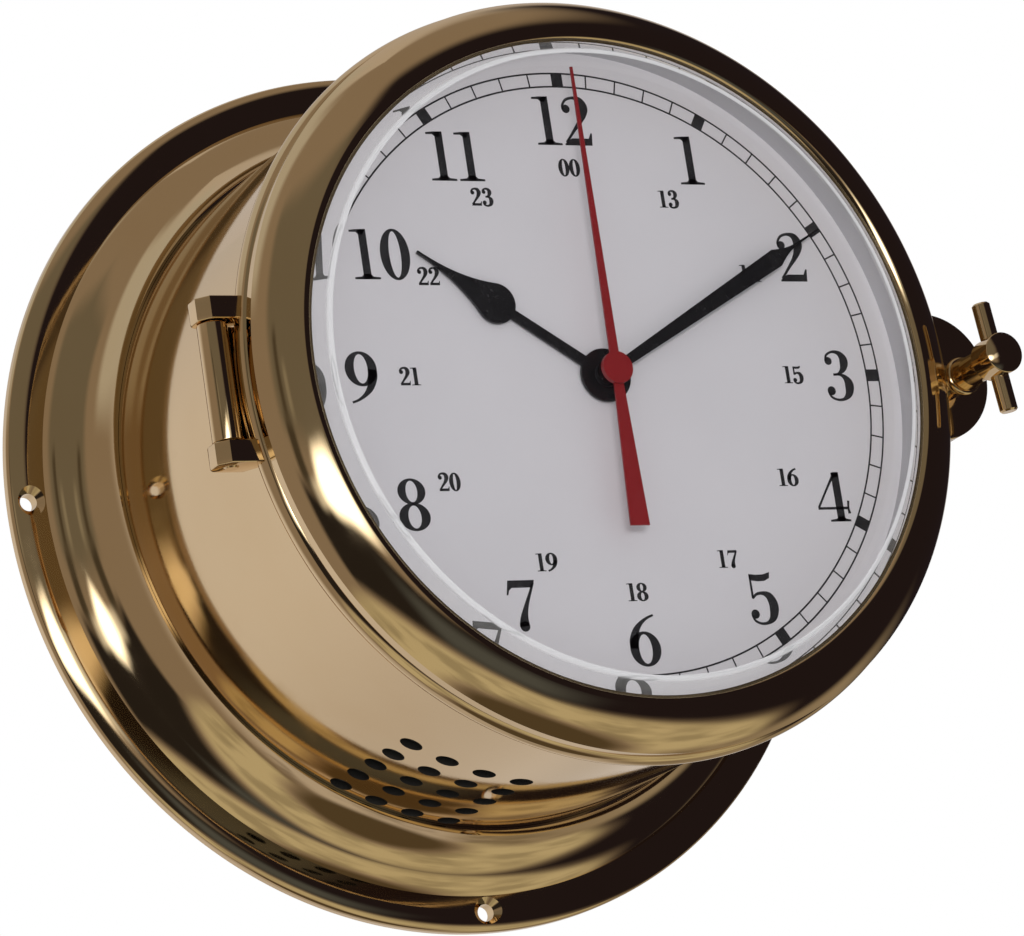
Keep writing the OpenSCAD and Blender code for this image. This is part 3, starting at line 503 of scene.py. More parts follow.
def screwHoles(f, values):
    g, given, ids = nodeTree("wallScrewHoles", values)
    index = g.make("GeometryNodeInputIndex")
    angle = index * (2 * pi) / given["Count"]
    place = g.vector(angle.math("SINE") * given["Circle"], given["Ledge"] * -1,
                     angle.math("COSINE") * given["Circle"])
    shaft = g.make("GeometryNodeMeshCylinder",
                   {"Vertices": f.drillSides, "Radius": given["Hole"], "Depth": given["Ledge"] * f.drillLong})
    rise = given["Sink"] - given["Hole"]  # the cone runs on past the face, at the same slope
    cone = g.make("GeometryNodeMeshCone",
                  {"Vertices": f.drillSides, "Radius Top": given["Sink"] + rise * f.sinkOver,
                   "Radius Bottom": given["Hole"] * f.sinkTip, "Depth": given["Deep"] * (1 + f.sinkOver)})
    lowered = g.make("GeometryNodeTransform",
                     {"Geometry": cone, "Translation": g.vector(z=given["Deep"] * -1)})
    both = g.make("GeometryNodeMeshBoolean", {"Mesh 2": [shaft, lowered]},
                  {"operation": "UNION", "solver": "EXACT"})
    endTree(g, drilled(g, given, given["Count"], place, both, (0.0, -1.0, 0.0)))
    return g, ids


def makeFlange(f):
    foot, meet, end = (radians(slope) for slope in (f.footSlope, f.meetSlope, f.lipSlope))
    shoulder = (f.footR - f.meetR) / (sin(foot) - sin(meet))
    cove = (f.meetR - f.lipR) / (sin(end) - sin(meet))  # up to the drum
    meetZ = f.ledge + shoulder * (cos(meet) - cos(foot))
    rimTurn, dish = radians(f.rimTurn), radians(f.dish)  # the ledge is a little crowned
    inner = (f.crownR - f.footR) / sin(dish)
    top = f.ledge + inner * (1 - cos(dish))
    rimX = f.rimR - f.rimRound
    outer = (rimX + f.rimRound * cos(rimTurn) - f.crownR) / cos(rimTurn)
    rimZ = top - outer + (outer - f.rimRound) * sin(rimTurn)
    under = (f.meetR - shoulder * sin(meet), meetZ - shoulder * cos(meet))
    over = (f.meetR + cove * sin(meet), meetZ + cove * cos(meet))
    shape = section((f.bore, 0), (f.rimR - f.backEdge, 0), (f.rimR, f.backEdge),
                    ("arc", (rimX, rimZ), f.rimRound, 0, f.rimTurn, 12),
                    ("arc", (f.crownR, top - outer), outer, f.rimTurn, 90, 14),
                    ("arc", (f.crownR, top - inner), inner, 90, 90 + f.dish, 5),
                    ("arc", under, shoulder, 90 - f.footSlope, 90 - f.meetSlope, 20),
                    ("arc", over, cove, 270 - f.meetSlope, 270 - f.lipSlope, 36),
                    (f.neckR, over[1] - cove * cos(end)), (f.neckR, f.inside),
                    (f.bore, f.inside))
    piece = lathe("flange_turned", shape, f.segments)
    values = {"Count": f.screws, "Circle": f.screwCircle * mm, "Ledge": f.ledge * mm, "Hole": f.hole * mm,
              "Sink": f.sinkR * mm, "Deep": f.sinkDeep * mm, "Material": finish["brass"]}
    g, ids = screwHoles(f, values)
    piece = polish(grow(piece, g, ids, values), shape)
    settle(piece, "case", "brass", None, "flange")


makeFlange(named(flange))
print("flange turned and drilled")

drum = {"segments": 288, "outer": 72.0, "inner": 70.4, "back": 3.0, "front": 84.0, "holeR": 2.25,
        "columns": 4, "rows": 5, "firstAngle": 10.97, "angleStep": 6.287, "firstRow": 19.1,
        "rowStep": 7.9, "edge": 0.15, "drill": 8.0, "drillSides": 40, "skin": 0.05, "frontShare": 0.998}


def soundHoles(d, values):
    g, given, ids = nodeTree("soundHoles", values)
    index = g.make("GeometryNodeInputIndex")
    row = (index / given["Columns"]).math("FLOOR")
    column = index - row * given["Columns"]
    angle = given["First angle"] + column * given["Angle step"]
    outX, outZ = angle.math("SINE") * -1, angle.math("COSINE") * -1
    place = g.vector(outX * given["Radius"], (given["First row"] + row * given["Row step"]) * -1,
                     outZ * given["Radius"])
    drill = g.make("GeometryNodeMeshCylinder",
                   {"Vertices": d.drillSides, "Radius": given["Hole"], "Depth": given["Drill"]})
    cut = drilled(g, given, given["Columns"] * given["Rows"], place, drill, g.vector(outX, 0.0, outZ))
    radius, along = axisOf(g, g.make("GeometryNodeInputPosition"))
    inner = radius.math("LESS_THAN", given["Radius"] - d.skin * mm)  # all but the outside and the front edge
    inner = inner * along.math("GREATER_THAN", given["Front"] * -d.frontShare)
    # the inner wall and hole walls take the near-black inside finish, which is painted shade
    endTree(g, g.make("GeometryNodeSetMaterial",
                      {"Geometry": cut, "Selection": inner, "Material": given["Inside"]}))
    return g, ids


def makeDrum(d):
    shape = section((d.inner, d.back), (d.outer, d.back), (d.outer, d.front - d.edge),
                    (d.outer - d.edge, d.front), (d.inner, d.front))
    piece = lathe("drum_drilled", shape, d.segments)
    values = {"Columns": d.columns, "Rows": d.rows, "First angle": radians(d.firstAngle),
              "Angle step": radians(d.angleStep), "First row": d.firstRow * mm,
              "Row step": d.rowStep * mm, "Radius": d.outer * mm, "Hole": d.holeR * mm,
              "Front": d.front * mm, "Drill": d.drill * mm, "Material": finish["brass"],
              "Inside": finish["inside"]}
    g, ids = soundHoles(d, values)
    piece = polish(grow(piece, g, ids, values), shape)
    settle(piece, "case", "brass", None, "case_drum")


holeShade = {"first": 7.5, "last": 33.5, "steps": 26, "inner": 69.95, "outer": 70.3, "back": 15.6, "front": 54.4}


def makeHoleShade(w):  # a dark felt strip just behind the sound holes: a painted-shade sheet that keeps them looking black
    bm = bmesh.new()
    loops = []
    for step in range(w.steps + 1):
        angle = radians(w.first + (w.last - w.first) * step / w.steps)
        loops.append([bm.verts.new(Vector((-r * sin(angle), -z, -r * cos(angle))) * mm)
                      for r, z in ((w.inner, w.back), (w.outer, w.back), (w.outer, w.front),
                                   (w.inner, w.front))])
    for one, two in zip(loops, loops[1:]):
        for k in range(4):
            bm.faces.new((one[k], one[(k + 1) % 4], two[(k + 1) % 4], two[k]))
    bm.faces.new(loops[0])
    bm.faces.new(loops[-1])
    bmesh.ops.recalc_face_normals(bm, faces=bm.faces[:])
    mesh = bpy.data.meshes.new("sound_hole_shade")
    bm.to_mesh(mesh)
    bm.free()
    settle(newObject("sound_hole_shade", mesh), "case", "felt", "felt")


makeDrum(named(drum))
makeHoleShade(named(holeShade))
print("drum drilled")

bezel = {"segments": 288, "skirt": 72.6, "back": 77.7, "shoulder": 85.2, "pocket": 67.4, "lipR": 64.3,
         "lipRound": 1.8, "lipTurn": 160, "frontAt": (62.467, 78.296), "frontRound": 13.7,
         "frontTurn": 30.26, "coneBack": 87.2, "beadAt": (72.7, 80.3), "beadRound": 2.6, "beadTurn": 60,
         "groove": (74.0, 82.9), "band": (74.3, 83.2), "edge": 0.1}
glass = {"segments": 256, "radius": 67.2, "flat": 61.9, "front": 92.6, "edge": 87.3, "back": 86.6,
         "soft": 1.6, "bevelTurn": 45, "bevelFacing": (-0.9995, -0.3)}


def makeBezel(b):
    crest = b.frontAt  # middle of the big front curve; the lip's small one runs on from it
    side = b.lipR + b.lipRound - crest[0]
    high = sqrt((b.frontRound - b.lipRound) ** 2 - side * side)
    edge, turn = (crest[0] + side, crest[1] + high), degrees(atan2(high, side))
    shape = section((b.skirt, b.back + b.edge), (b.skirt + b.edge, b.back),
                    ("arc", b.beadAt, b.beadRound, -90, b.beadTurn, 30), b.groove, b.band,
                    ("arc", crest, b.frontRound, b.frontTurn, turn, 40),
                    ("arc", edge, b.lipRound, turn, b.lipTurn, 24), (b.pocket, b.coneBack),
                    (b.pocket, b.shoulder), (b.skirt, b.shoulder))
    piece = turnedPiece("bezel_turned", shape, b.segments)
    settleBrass(piece, "bezel_door", "bezel")


def makeGlass(s):
    turn = s.soft * tan(radians(s.bevelTurn / 2))  # the bevel's inner edge is rounded over
    shape = section((0, s.back), (s.radius, s.back), (s.radius, s.edge),
                    ("arc", (s.flat - turn, s.front - s.soft), s.soft, s.bevelTurn, 90, 12), (0, s.front))
    piece = turnedPiece("glass_bevelled", shape, s.segments)
    settle(piece, "bezel_door", "glass", "glass", "glass")
    piece.data.materials.append(finish["bevel"])
    steep, slight = s.bevelFacing
    for face in piece.data.polygons:
        if steep < face.normal.y < slight:  # the bevel and its rounded edge, not the flat
            face.material_index = 1


ringSegments = 256
rings = {  # inner and outer radius, back, front, chamfer; body, slot, finish, node
    "retainer_ring": (65.4, 67.3, 84.9, 86.3, 0.15, "bezel_door", "brass", "brass", "glass_retainer"),
    "gasket_ring": (65.4, 67.2, 86.3, 86.6, 0.05, "bezel_door", "rubber", "rubber", "glass_gasket"),
    "seal_ring": (67.7, 72.3, 84.4, 85.2, 0.1, "bezel_door", "felt", "felt", "bezel_seal"),
    "surround_ring": (65.4, 70.1, 79.2, 84.0, 0.3, "case", "satin_aluminium", "satin", "dial_surround"),
}


def makeRing(name, inner, outer, back, front, chamfer, *place):
    shape = section((inner, back), (outer, back), (outer, front - chamfer), (outer - chamfer, front),
                    (inner + chamfer, front), (inner, front - chamfer))
    settle(turnedPiece(name, shape, ringSegments), *place)


makeBezel(named(bezel))
makeGlass(named(glass))
for ring, sizes in rings.items():
    makeRing(ring, *sizes)
print("bezel, glass and rings turned")

hinge = {"x": -78.3, "z": 78.4, "barrel": 2.85, "half": 11.3, "webOut": 0.7, "webBack": 74.4,
         "webFront": 77.4, "into": -70.95, "lugOut": 3.4, "lugHalf": 3.5, "lugRound": 2.1,
         "lugNear": 11.55, "lugFar": 15.95, "lugInto": -72.6, "lugBack": 77.7, "pinR": 1.5,
         "pinHalf": 16.25, "barrelEdge": 0.25, "lugEdge": 0.35, "lugSlant": 1.0, "pinEdge": 0.3,
         "pinSegments": 64}


def makeHinge(h):
    x, z = h.x, h.z
    upright = Matrix(((1, 0, 0, 0), (0, 0, 1, 0), (0, 1, 0, 0), (0, 0, 0, 1)))  # outline in x, z
    meet = 180 + degrees(acos(h.webOut / h.barrel))
    web = [*arcPoints((x, z), h.barrel, 0, meet, 40), (x - h.webOut, h.webBack),
           (h.into, h.webBack), (h.into, h.webFront), (x + h.barrel, h.webFront)]
    piece = plate("hinge_barrel", [web], -h.half, h.half, h.barrelEdge, upright)
    settleBrass(piece, "case", "hinge_knuckle")
    half, soft, left = h.lugHalf, h.lugRound, x - h.lugOut + h.lugRound
    lug = [(left, z + half), (left - soft, z + half - soft),
           *arcPoints((left, z - half + soft), soft, 180, 270, 8), (x + h.barrel + h.lugSlant, z - half),
           (h.lugInto, h.lugBack), (h.lugInto, z + half)]
    upper = plate("hinge_lugs_cut", [lug], h.lugNear, h.lugFar, h.lugEdge, upright)
    lower = plate("hinge_lug_low", [lug], -h.lugFar, -h.lugNear, h.lugEdge, upright)
    bm = bmesh.new()
    bm.from_mesh(upper.data)
    bm.from_mesh(lower.data)
    bm.to_mesh(upper.data)
    bm.free()
    bpy.data.objects.remove(lower)
    upper.data.shade_smooth()
    upper.data.set_sharp_from_angle(angle=plateSharp)
    settleBrass(upper, "bezel_door", "hinge_lugs")
    along = Matrix(((1, 0, 0, x * mm), (0, 0, 1, 0), (0, -1, 0, z * mm), (0, 0, 0, 1)))
    pin = rodSection(h.pinR, h.pinHalf, h.pinEdge)
    settleBrass(turnedPiece("hinge_pin_turned", pin, h.pinSegments, along), "bezel_door", "hinge_pin")


makeHinge(named(hinge))
print("hinge made")

latch = {"x": 81.3, "lugX": 74.0, "lugR": 13.0, "lugBack": 78.2, "lugFront": 80.7, "keeperBack": 70.9,
         "keeperFront": 77.4, "hole": 2.05, "washerR": 3.9, "threadR": 1.6, "threadEnd": 74.7,
         "shankR": 2.0, "collarR": 3.3, "collarBack": 81.7, "collarFront": 84.2, "neckR": 3.0,
         "neckFront": 88.7, "knobR": 4.1, "knobBack": 90.3, "knobEdge": 96.4, "knobDome": 9.0,
         "knobSoft": 0.3, "barZ": 92.7, "barR": 1.8, "barLen": 22.2, "barTilt": 6.0, "barEdge": 0.35,
         "lugRing": 73.3, "keeperRing": 71.2, "edge": 0.3, "washerBack": 80.8, "washerFront": 81.6,
         "washerSoft": 0.75, "collarSoft": 0.6, "shankBack": 78.2, "segments": 96, "barSegments": 64}


def crescent(c, ringR):  # the part of the lug's disc outside a ring about the clock's axis
    meet = (ringR * ringR + c.lugX ** 2 - c.lugR ** 2) / (2 * c.lugX)
    rise = sqrt(ringR * ringR - meet * meet)
    turn = degrees(atan2(rise, meet - c.lugX))
    lean = degrees(atan2(rise, meet))
    return arcPoints((c.lugX, 0), c.lugR, -turn, turn, 72) + arcPoints((0, 0), ringR, lean, -lean, 24)[1:-1]


def makeLatch(c):
    hole = arcPoints((c.x, 0), c.hole, 0, 360, 48)[:-1]
    piece = plate("latch_lug_cut", [crescent(c, c.lugRing), hole], c.lugBack, c.lugFront, c.edge)
    settleBrass(piece, "bezel_door", "latch_lug")
    piece = plate("latch_keeper_cut", [crescent(c, c.keeperRing), hole], c.keeperBack, c.keeperFront, c.edge)
    settleBrass(piece, "case", "latch_keeper")
    axis = Matrix.Translation((c.x * mm, 0, 0))
    soft = c.washerSoft
    washer = section((c.hole, c.washerBack), (c.washerR, c.washerBack),
                     ("arc", (c.washerR - soft, c.washerFront - soft), soft, 0, 90, 12),
                     (c.hole, c.washerFront))
    settleBrass(turnedPiece("latch_washer_turned", washer, c.segments, axis), "latch_carrier", "latch_washer")
    soft = c.collarSoft
    screw = section((0, c.threadEnd), (c.threadR - c.edge, c.threadEnd),
                    (c.threadR, c.threadEnd + c.edge), (c.threadR, c.shankBack),
                    (c.shankR, c.shankBack), (c.shankR, c.collarBack),
                    ("arc", (c.collarR - soft, c.collarBack + soft), soft, -90, 0, 10),
                    (c.neckR, c.collarFront), (c.neckR, c.neckFront), (0, c.neckFront))
    settleBrass(turnedPiece("latch_screw_turned", screw, c.segments, axis), "latch_head", "latch_screw")
    soft, dome = c.knobSoft, c.knobDome
    face = c.knobR - soft
    domeZ = c.knobEdge - sqrt(dome * dome - face * face)
    meet = degrees(acos(face / (dome - soft)))
    knob = section((0, c.neckFront), (c.neckR, c.neckFront), (c.neckR, c.knobBack), (face, c.knobBack),
                   ("arc", (face, c.knobBack + soft), soft, -90, 0, 6),
                   ("arc", (face, domeZ + (dome - soft) * sin(radians(meet))), soft, 0, meet, 6),
                   ("arc", (0, domeZ), dome, meet, 90, 16))
    settleBrass(turnedPiece("latch_knob_turned", knob, c.segments, axis), "latch_head", "latch_knob")
    tilt = Matrix.Rotation(radians(c.barTilt), 4, "Z") @ Matrix.Rotation(radians(90), 4, "X")
    lie = axis @ Matrix.Translation((0, 0, c.barZ * mm)) @ tilt
    bar = rodSection(c.barR, c.barLen / 2, c.barEdge)
    settleBrass(turnedPiece("latch_bar_turned", bar, c.barSegments, lie), "latch_head", "latch_bar")


makeLatch(named(latch))
print("latch made")

track = {"inner": 58.4, "outer": 61.1, "line": 0.34, "tick": 0.30, "block": 2.4, "minutes": 60,
         "face": 79.2, "ink": 0.03, "blockEvery": 5, "blockOver": 1.02, "lineUnder": 0.98, "ringSteps": 240}


def minuteTrack(t, values):
    g, given, ids = nodeTree("minuteTrack", values)
    index = g.make("GeometryNodeInputIndex")
    angle = index * (2 * pi) / given["Minutes"]
    middle = (given["Inner"] + given["Outer"]) * 0.5
    place = g.vector(angle.math("SINE") * middle, angle.math("COSINE") * middle)
    turn = g.vector(z=angle * -1)
    spots = g.make("GeometryNodePoints", {"Count": given["Minutes"], "Position": place})
    share = index / t.blockEvery
    fifth = (share - share.math("FLOOR")).math("LESS_THAN", 0.1)  # a whole number of steps
    deep = given["Outer"] - given["Inner"]
    tick = g.make("GeometryNodeMeshCube", {"Size": g.vector(given["Tick"], deep, given["Ink"])})
    raised = given["Ink"] * t.blockOver
    block = g.make("GeometryNodeMeshCube", {"Size": g.vector(given["Block"], deep, raised)})
    marks = g.make("GeometryNodeInstanceOnPoints",
                   {"Points": spots, "Selection": 1 - fifth, "Instance": tick, "Rotation": turn})
    blocks = g.make("GeometryNodeInstanceOnPoints",
                    {"Points": spots, "Selection": fifth, "Instance": block, "Rotation": turn})
    edge = g.make("GeometryNodeCurvePrimitiveQuadrilateral",
                  {"Width": given["Line"], "Height": given["Ink"] * t.lineUnder})
    rings = []
    for radius in ("Inner", "Outer"):
        circle = g.make("GeometryNodeCurvePrimitiveCircle",
                        {"Resolution": t.ringSteps, "Radius": given[radius]})
        rings.append(g.make("GeometryNodeCurveToMesh", {"Curve": circle, "Profile Curve": edge}))
    whole = g.make("GeometryNodeJoinGeometry", {"Geometry": [marks, blocks, *rings]})
    whole = g.make("GeometryNodeRealizeInstances", {"Geometry": whole})
    endTree(g, g.make("GeometryNodeSetMaterial", {"Geometry": whole, "Material": given["Material"]}))
    return g, ids


def makeTrack(t):
    piece = newObject("minute_track", bpy.data.meshes.new("minute_track"))
    values = {"Minutes": t.minutes, "Inner": t.inner * mm, "Outer": t.outer * mm, "Line": t.line * mm,
              "Tick": t.tick * mm, "Block": t.block * mm, "Ink": t.ink * mm, "Material": finish["ink"]}
    g, ids = minuteTrack(t, values)
    grow(piece, g, ids, values)
    piece.data.transform(rowTurn @ Matrix.Translation((0, 0, (t.face + t.ink / 2) * mm)))
    settle(piece, "case", "hand_black", None)


makeTrack(named(track))

figureForms = {  # one high: strokes (x, y, half width), rings (x, y, outer, inner), balls (x, y, r), shapes
    "0": {"rings": [(0, 0.5, 0.312, 0.515, 0.122, 0.462)], "wide": 0.62},
    "1": {"strokes": [[(0, 0, 0.082), (0, 1.0, 0.082)]], "wide": 0.55,
          "shapes": [[(-0.27, 0), (0.27, 0), (0.27, 0.04), (0.12, 0.055), (0.07, 0.11), (-0.07, 0.11),
                      (-0.12, 0.055), (-0.27, 0.04)],
                     [(0.082, 1.005), (-0.12, 1.0), (-0.27, 0.985), (-0.27, 0.945), (-0.13, 0.945),
                      (-0.08, 0.90), (0.0, 0.88)]]},
    "2": {"strokes": [[(-0.255, 0.73, 0.020), (-0.25, 0.83, 0.024), (-0.16, 0.945, 0.028),
                       (0, 0.985, 0.032), (0.135, 0.935, 0.070), (0.200, 0.80, 0.098), (0.175, 0.66, 0.085),
                       (0.08, 0.49, 0.052), (-0.06, 0.32, 0.033), (-0.19, 0.16, 0.027),
                       (-0.27, 0.06, 0.03)]], "balls": [(-0.185, 0.755, 0.088)], "wide": 0.63,
          "shapes": [[(-0.31, 0), (0.285, 0), (0.312, 0.255), (0.278, 0.255), (0.225, 0.145),
                      (-0.15, 0.145), (-0.31, 0.035)]]},
    "3": {"strokes": [[(-0.235, 0.82, 0.020), (-0.19, 0.925, 0.024), (-0.05, 0.988, 0.026),
                       (0.095, 0.955, 0.052), (0.175, 0.85, 0.088), (0.180, 0.74, 0.092),
                       (0.13, 0.62, 0.062), (0.02, 0.535, 0.026), (-0.10, 0.518, 0.024)],
                      [(-0.10, 0.518, 0.024), (0.05, 0.515, 0.026), (0.15, 0.46, 0.055),
                       (0.215, 0.36, 0.092), (0.225, 0.25, 0.098), (0.18, 0.11, 0.074),
                       (0.06, 0.012, 0.034), (-0.09, 0.0, 0.026), (-0.22, 0.06, 0.024),
                       (-0.275, 0.17, 0.020)]], "balls": [(-0.17, 0.80, 0.082), (-0.20, 0.185, 0.092)],
          "wide": 0.63},
    "4": {"strokes": [[(0.13, 0, 0.085), (0.13, 0.99, 0.085)],
                      [(0.10, 0.96, 0.030), (-0.13, 0.62, 0.022), (-0.345, 0.29, 0.024)],
                      [(-0.36, 0.272, 0.026), (0.33, 0.272, 0.026)],
                      [(0.335, 0.16, 0.032), (0.325, 0.28, 0.022), (0.345, 0.42, 0.026)]], "wide": 0.72,
          "shapes": [[(-0.12, 0), (0.34, 0), (0.34, 0.038), (0.24, 0.055), (0.18, 0.11), (0.08, 0.11),
                      (0.02, 0.055), (-0.12, 0.038)],
                     [(0.045, 0.99), (0.09, 1.005), (0.215, 1.005), (0.215, 0.9), (0.05, 0.9)]]},
    "5": {"strokes": [[(-0.215, 0.97, 0.022), (-0.215, 0.50, 0.024)],
                      [(-0.22, 0.505, 0.024), (-0.12, 0.585, 0.028), (0.02, 0.60, 0.040),
                       (0.145, 0.54, 0.078), (0.215, 0.40, 0.098), (0.215, 0.25, 0.098),
                       (0.16, 0.10, 0.072), (0.04, 0.012, 0.034), (-0.11, 0.0, 0.026),
                       (-0.235, 0.06, 0.024), (-0.29, 0.17, 0.020)]], "balls": [(-0.215, 0.19, 0.092)],
          "wide": 0.64,
          "shapes": [[(-0.237, 0.99), (-0.08, 0.972), (0.08, 0.975), (0.235, 1.02), (0.215, 0.90),
                      (0.10, 0.845), (-0.05, 0.84), (-0.20, 0.86), (-0.237, 0.9)]]},
    "6": {"strokes": [[(0.265, 0.985, 0.022), (0.12, 0.93, 0.026), (-0.03, 0.83, 0.042),
                       (-0.15, 0.69, 0.070), (-0.225, 0.50, 0.092), (-0.235, 0.34, 0.096)]],
          "rings": [(0, 0.325, 0.332, 0.345, 0.142, 0.288)], "wide": 0.66},
    "7": {"strokes": [[(0.285, 0.94, 0.026), (0.215, 0.78, 0.028), (0.12, 0.58, 0.038),
                       (0.045, 0.40, 0.056), (0.0, 0.25, 0.082), (-0.015, 0.13, 0.104),
                       (-0.012, 0.085, 0.104)]], "balls": [(-0.012, 0.09, 0.104)], "wide": 0.64,
          "shapes": [[(-0.305, 0.70), (-0.27, 0.70), (-0.24, 0.79), (-0.18, 0.84), (0.27, 0.84),
                      (0.315, 0.985), (-0.25, 0.985)]]},
    "8": {"rings": [(0, 0.755, 0.290, 0.255, 0.120, 0.208), (0, 0.258, 0.325, 0.274, 0.135, 0.222)],
          "wide": 0.64},
}
figureForms["9"] = {  # a 6 turned over
    "strokes": [[(-x, 1 - y, half) for x, y, half in figureForms["6"]["strokes"][0]]],
    "rings": [(0, 0.675, 0.332, 0.345, 0.142, 0.288)], "wide": 0.66}
figures = {
    "tall": 9.85, "smallTall": 3.45, "smallWeight": 0.028, "face": 79.2, "ink": 0.03, "sunk": 0.005,
    "gap": 0.055,
    "hours": {"12": (-0.2, 51.4), "1": (26.5, 43.8), "2": (45.8, 24.1), "3": (51.9, 0), "4": (46, -24.5),
              "5": (26.8, -44.2), "6": (-0.2, -51.6), "7": (-24.7, -44.2), "8": (-44.2, -24.5),
              "9": (-50.9, 0), "10": (-43.3, 24.1), "11": (-24.5, 43.8)},
    "small": {"00": (-0.3, 41.9), "13": (20.4, 35.8), "14": (36.0, 20.8), "15": (41.8, 0.2),
              "16": (36.8, -20.4), "17": (20.6, -36.3), "18": (-0.1, -42.3), "19": (-18.3, -36.1),
              "20": (-36.1, -20.3), "21": (-41, 0.2), "22": (-34, 19.8), "23": (-20.2, 35.7)},
}


pen = named({"fine": 10, "least": 0.015, "ringSteps": 56, "ballSteps": 28, "outside": 0.3, "inside": 0.6})


def strokeStrip(points, weight):  # both edges of a smooth line through the points
    pts = [np.array(p, float) for p in points]
    pts = [2 * pts[0] - pts[1], *pts, 2 * pts[-1] - pts[-2]]
    line = []
    for a, b, c, d in zip(pts, pts[1:], pts[2:], pts[3:]):
        for i in range(pen.fine):
            t = i / pen.fine
            bend, twist = 2 * a - 5 * b + 4 * c - d, 3 * b - a - 3 * c + d
            line.append(0.5 * (2 * b + (c - a) * t + bend * t * t + twist * t ** 3))
    line = np.array([*line, pts[-2]])
    way = np.gradient(line[:, :2], axis=0)
    way /= np.linalg.norm(way, axis=1, keepdims=True)
    side = np.stack([-way[:, 1], way[:, 0]], 1) * (np.maximum(line[:, 2:], pen.least) + weight)
    return [tuple(p) for p in line[:, :2] + side], [tuple(p) for p in line[:, :2] - side]


def figurePatches(form, weight):  # flat patches (points, faces) that make up one figure
    patches = []
    for points in form.get("strokes", []):
        left, right = strokeStrip(points, weight)
        n = len(left)
        patches.append((left + right, [(i, i + 1, n + i + 1, n + i) for i in range(n - 1)]))
    for x, y, w, h, iw, ih in form.get("rings", []):
        n = pen.ringSteps
        turn = [2 * pi * i / n for i in range(n)]
        outer = [(x + (w + weight) * cos(t), y + (h + weight * pen.outside) * sin(t)) for t in turn]
        inner = [(x + (iw - weight) * cos(t), y + (ih - weight * pen.inside) * sin(t)) for t in turn]
        patches.append((outer + inner, [(i, (i + 1) % n, n + (i + 1) % n, n + i) for i in range(n)]))
    for x, y, r in form.get("balls", []):
        n = pen.ballSteps
        patches.append((arcPoints((x, y), r + weight, 0, 360, n)[:-1], [tuple(range(n))]))
    for shape in form.get("shapes", []):
        patches.append((shape, [tuple(range(len(shape)))]))
    return patches


def figureWord(word, f, tall, weight):  # a number's patches in millimetres about its middle
    wide = [figureForms[c]["wide"] for c in word]
    across = sum(wide) + f.gap * (len(word) - 1)
    at, patches = -across / 2, []
    for c, w in zip(word, wide):
        for points, faces in figurePatches(figureForms[c], weight):
            patches.append(([((x + at + w / 2) * tall, (y - 0.5) * tall) for x, y in points], faces))
        at += w + f.gap
    return patches


def makeFigures(name, words, f, tall, weight):
    bm = bmesh.new()
    for word, (x, y) in words.items():
        for points, faces in figureWord(word, f, tall, weight):
            low = [bm.verts.new(((x + px) * mm, (y + py) * mm, (f.face - f.sunk) * mm)) for px, py in points]
            made = [bm.faces.new([low[i] for i in face]) for face in faces]
            raised = bmesh.ops.extrude_face_region(bm, geom=made, use_keep_orig=True)["geom"]
            upper = [v for v in raised if isinstance(v, bmesh.types.BMVert)]
            bmesh.ops.translate(bm, verts=upper, vec=(0, 0, (f.ink + f.sunk) * mm))
    bmesh.ops.recalc_face_normals(bm, faces=bm.faces)
    mesh = bpy.data.meshes.new(name)
    bm.to_mesh(mesh)
    bm.free()
    mesh.transform(rowTurn)
    settle(newObject(name, mesh), "case", "hand_black", "ink")


figure = named(figures)
makeFigures("hour_figures", figure.hours, figure, figure.tall, 0.0)
makeFigures("small_figures", figure.small, figure, figure.smallTall, figure.smallWeight)
print("dial printed")

nodeFinish = {  # what stays as the frame has it
    "dial_plate": "dial", "dial_seat": "brass", "dial_screws": "steel", "dial_studs": "steel",
    "stud_nuts": "steel", "movement_housing": "blackPlastic", "movement_cover": "blackPlastic",
    "cover_screws": "steel", "centre_bush": "brass", "movement_washer": "rubber",
    "rear_plate": "blackPlastic", "middle_plate": "blackPlastic", "plate_pillars": "blackPlastic",
    "circuit_board": "board", "quartz_crystal": "steel", "drive_coil": "copper", "stator": "steel",
    "battery": "cell", "plus_contact": "steel", "minus_contact": "steel", "motor_rotor": "steel",
    "intermediate_wheel": "whitePlastic", "seconds_wheel": "whitePlastic", "third_wheel": "whitePlastic",
    "centre_wheel": "blackPlastic", "minute_wheel": "whitePlastic", "hour_wheel": "blackPlastic",
    "setting_knob": "whitePlastic", "hour_hand": "handBlack", "minute_hand": "handBlack",
    "seconds_hand": "handRed",
}
for node, look in nodeFinish.items():
    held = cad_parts[node]
    if not held.material_slots:
        held.data.materials.append(finish[look])
    for slot in held.material_slots:
        slot.material = finish[look]
print("frame finished:", len(nodeFinish), "nodes")

